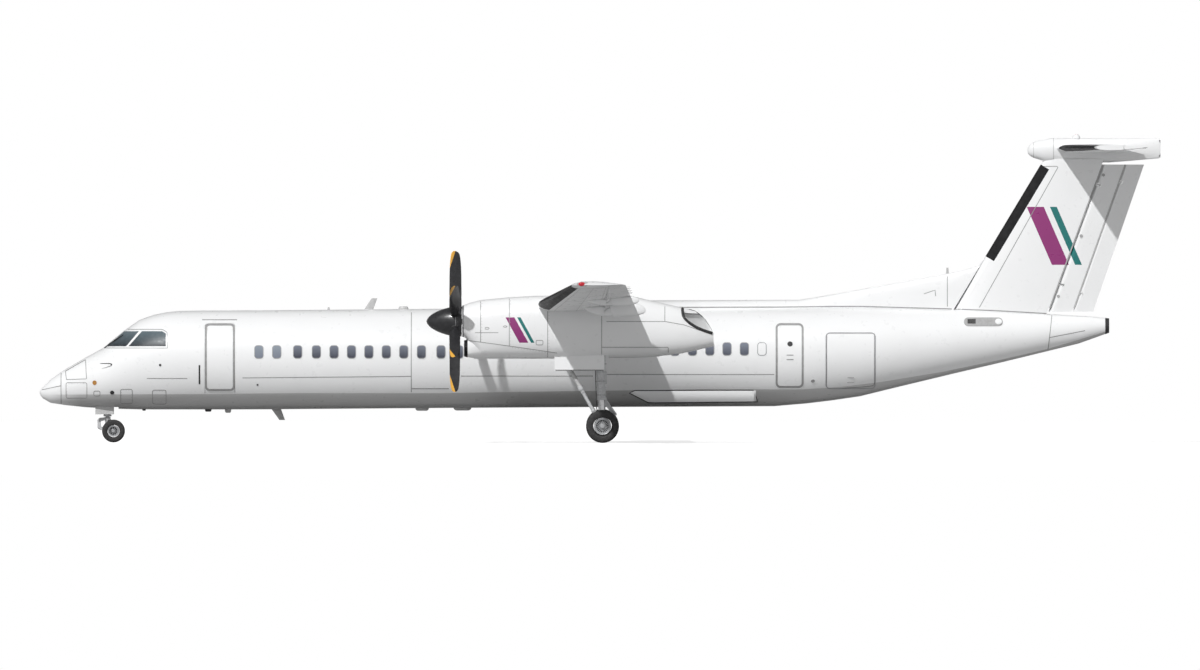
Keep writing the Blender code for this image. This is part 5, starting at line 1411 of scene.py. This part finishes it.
def build_seams(skin, fin_skin, tree, rivets):
    """Joints, hatches, door frames and screws of the fuselage, and the joint of fairings and fin on the crown."""
    both, left, right, seal = SIDES, SIDES[:1], SIDES[1:], "door_frame"

    def frame_of(*corners):
        return lines(rounded(*corners), closed=True)

    for name, layout, width, proud, spacing, finish, sides, *body in (
        ("panel_joints", lines(
            [(-13.257, 1.875), (-12.071, 1.875)], [(-10.457, 1.892), (-5.520, 1.936)],
            [(-5.520, 3.80), (-5.520, 1.476)], [(-5.506, 1.579), (-4.422, 1.579)],
            [(-4.070, 1.945), (-0.204, 1.945)], [(0.001, 1.992), (5.100, 1.992)],
            [(13.160, 3.073), (14.209, 3.275)]), 0.022, 0.010, 0.05, "joint", both),
        ("flank_outline", lines([(0.860, 1.446), (1.010, 1.524), (4.500, 1.533), (4.625, 1.190), (1.425, 1.158)],
                                closed=True), 0.022, 0.010, 0.05, "dark", both),
        ("windshield_border", lines([(-14.500, 2.765), (-13.960, 3.310), (-12.800, 3.310), (-12.665, 3.225),
                                     (-12.650, 2.765)], closed=True), 0.020, 0.010, 0.05, "frame", both),
        ("hatches", lines(
            rounded(-14.030, -13.685, 1.137, 1.558, 0.05), rounded(-13.096, -12.698, 1.122, 1.535, 0.05),
            [(-15.653, 2.086), (-15.062, 2.423), (-15.026, 1.863), (-15.621, 1.840)],
            rounded(-15.630, -15.018, 1.301, 1.749, 0.04), rounded(-14.816, -14.634, 1.368, 1.506, 0.04),
            closed=True), 0.018, 0.012, 0.03, "joint", both),
        ("passenger_door_frame", frame_of(-11.530, -10.710, 1.540, 3.454, 0.11), 0.060, 0.020, 0.04, seal, left,
         "passenger_door"),
        ("aft_door_frame", frame_of(5.168, 5.929, 1.631, 3.460, 0.11), 0.058, 0.018, 0.04, seal, left),
        ("baggage_door_frame", frame_of(6.613, 8.055, 1.578, 3.208, 0.12), 0.026, 0.012, 0.04, "frame", left),
        ("service_door_frame", frame_of(5.112, 5.985, 1.574, 3.517, 0.13), 0.060, 0.016, 0.04, seal, right),
        ("exit_frame", frame_of(-11.430, -10.830, 1.760, 3.330, 0.12), 0.050, 0.016, 0.04, seal, right),
        ("passenger_door_drip", lines([(-11.643, 3.590), (-10.621, 3.590)]), 0.022, 0.016, 0.05, "joint", left),
        ("passenger_door_handle", lines([(-11.716, 2.267), (-11.716, 1.711)]), 0.045, 0.016, 0.05, "dark", left),
        ("radome_joint", lines([(-15.779, 2.03), (-15.779, 1.14)], [(13.236, 3.72), (13.120, 2.72)],
                               [(-15.779, 1.66), (-16.34, 1.54)]), 0.020, 0.012, 0.05, "joint", both),
    ):
        for label, side in sides:
            grown(f"{name}_{label}", tree, layout, *body, Width=width, Depth=proud, Spacing=spacing, Finish=finish,
                  **from_side(skin, side))
    screws = lines(rounded(-15.600, -15.048, 1.335, 1.715, 0.03), rounded(-14.000, -13.715, 1.170, 1.525, 0.03),
                   rounded(-13.066, -12.728, 1.155, 1.502, 0.03), closed=True)
    crown = [(x, between(HULL, x)[1] + 0.014) for x in (2.30 + (13.20 - 2.30) * i / 43 for i in range(44))]
    for label, side in SIDES:
        grown(f"hatch_screws_{label}", rivets, screws, Spacing=0.09, Radius=0.006, Proud=0.004, Finish="steel",
              **from_side(skin, side))
        grown(f"crown_joint_{label}", tree, lines(crown), Width=0.030, Depth=0.010, Spacing=0.12, Finish="joint",
              **from_side(fin_skin, side))


def paint_the_airframe():
    """Every CAD solid gets its own finish and smooth shading."""
    hull = section_normal(HULL)
    for node in ("fuselage", "radome", "tail_cone", "passenger_door", "baggage_door", "aft_door"):
        dressed(node, "fuselage", hull)
    for label, side in SIDES:
        nacelle = section_normal(NACELLE, side * NACELLE_Y, 2.4)
        for finish, curve, nodes in (
            ("nacelle", nacelle, ("cowl", "nacelle", "jet_pipe")),
            ("windshield", hull, ("windshield", "cockpit_window")),
            ("wing", None, ("wing", "flap_inner", "flap_outer", "aileron", "elevator")),
            ("gear", None, ("main_leg", "drag_brace")), ("hub", None, ("main_wheels",)),
            ("white", None, ("main_door_inner", "main_door_outer")), ("pale_grey", None, ("nose_door",)),
            ("dark", None, ("engine",)),
        ):
            for node in nodes:
                dressed(f"{node}_{label}", finish, curve)
    for finish, nodes in (
        ("fin", ("fin", "rudder", "rudder_trailing")), ("wing", ("wing_centre", "tailplane")),
        ("white", ("wing_fairing", "dorsal_fin", "tail_bullet")), ("gear", ("nose_leg", "nose_fork")),
        ("hub", ("nose_wheels",)),
    ):
        for node in nodes:
            dressed(node, finish)


# ---------------------------------------------------------------- the aircraft

def camera_and_light():
    """Level long-lens view of the left side, a key sun over the camera and soft fill."""
    far = 880.0
    scene = bpy.context.scene
    data = bpy.data.cameras.new("side_camera")
    data.lens, data.sensor_width = 36 * far / 35.153, 36
    data.clip_start, data.clip_end = 10, far * 2
    scene.camera = placed("side_camera", data)
    scene.camera.location = (0.0015, -far, 3.146)
    scene.camera.rotation_euler = (math.radians(90), 0, 0)

    sun = bpy.data.lights.new("key_sun", "SUN")
    sun.energy, sun.angle = 2.75, math.radians(1.2)
    placed("key_sun", sun).rotation_euler = Vector((0.437, 1.0, -1.0)).to_track_quat("-Z", "Y").to_euler()

    scene.world = bpy.data.worlds.new("studio")
    scene.world.use_nodes = True
    sky = Steps(scene.world.node_tree)
    way = sky.step("ShaderNodeSeparateXYZ", sky.step("ShaderNodeTexCoord").outputs["Generated"]).outputs
    level = sky.step("ShaderNodeMapRange", way["Y"], 1.0, -1.0, 0.24, 0.70)
    height = sky.step("ShaderNodeMapRange", way["Z"], 1.0, 0.0, 0.34, 1.0)
    fill = sky.tree.nodes["Background"]
    sky.feed(fill.inputs["Color"], 1.0)
    sky.feed(fill.inputs["Strength"], sky.times(level, height))
    seen = sky.step("ShaderNodeBackground", Color=1.0, Strength=1.0)
    ray = sky.step("ShaderNodeLightPath").outputs["Is Camera Ray"]
    sky.feed(sky.tree.nodes["World Output"].inputs["Surface"], sky.step("ShaderNodeMixShader", ray, fill, seen))
    scene.view_settings.view_transform = "Standard"

    bpy.ops.mesh.primitive_plane_add(size=400, location=(0, 0, -0.001))
    floor = bpy.context.object
    floor.name = "studio_floor"
    paper = Finish("floor_paper", 0.90, 0.9)
    seen = paper.step("ShaderNodeLightPath").outputs["Is Camera Ray"]
    paper.looks(Base_Color=paper.mix(seen, 0.42, 0.55), Emission_Color=1.0,
                Emission_Strength=paper.times(seen, 0.68))
    floor.data.materials.append(paper.material)


def main():
    camera_and_light()
    mix_the_finishes()
    skin = plain_hull()
    fin_skin = joined_skin("plain_fin", ["fin", "rudder", "rudder_trailing", "dorsal_fin", "wing_fairing",
                                         "fuselage", "tail_cone"])
    seams, rivets = seam_tree(), rivet_tree()
    bars, bolts = radial_tree("wheel_spokes", bars=True), radial_tree("wheel_bolts")

    paint_the_airframe()
    build_windows(skin)
    build_seams(skin, fin_skin, seams, rivets)
    build_aerials()
    build_probes()
    build_side_fairings()
    build_tail_vent()
    build_boots()
    build_wing_joints()
    build_tip_lights()
    build_flap_tracks()
    build_static_wicks()
    build_fin_details(seams, fin_skin)
    build_rudder_seals()
    build_bullet_nose()
    for label, side in SIDES:
        build_nacelle_details(seams, rivets, label, side)
        build_propeller(label, side)
        build_main_gear(bars, bolts, label, side)
    build_nose_gear(bars, bolts)
    build_entry()
    build_door_steps()
    build_door_fittings()
    build_wipers()
    for spare in (skin, fin_skin):
        bpy.data.objects.remove(spare, do_unlink=True)


main()
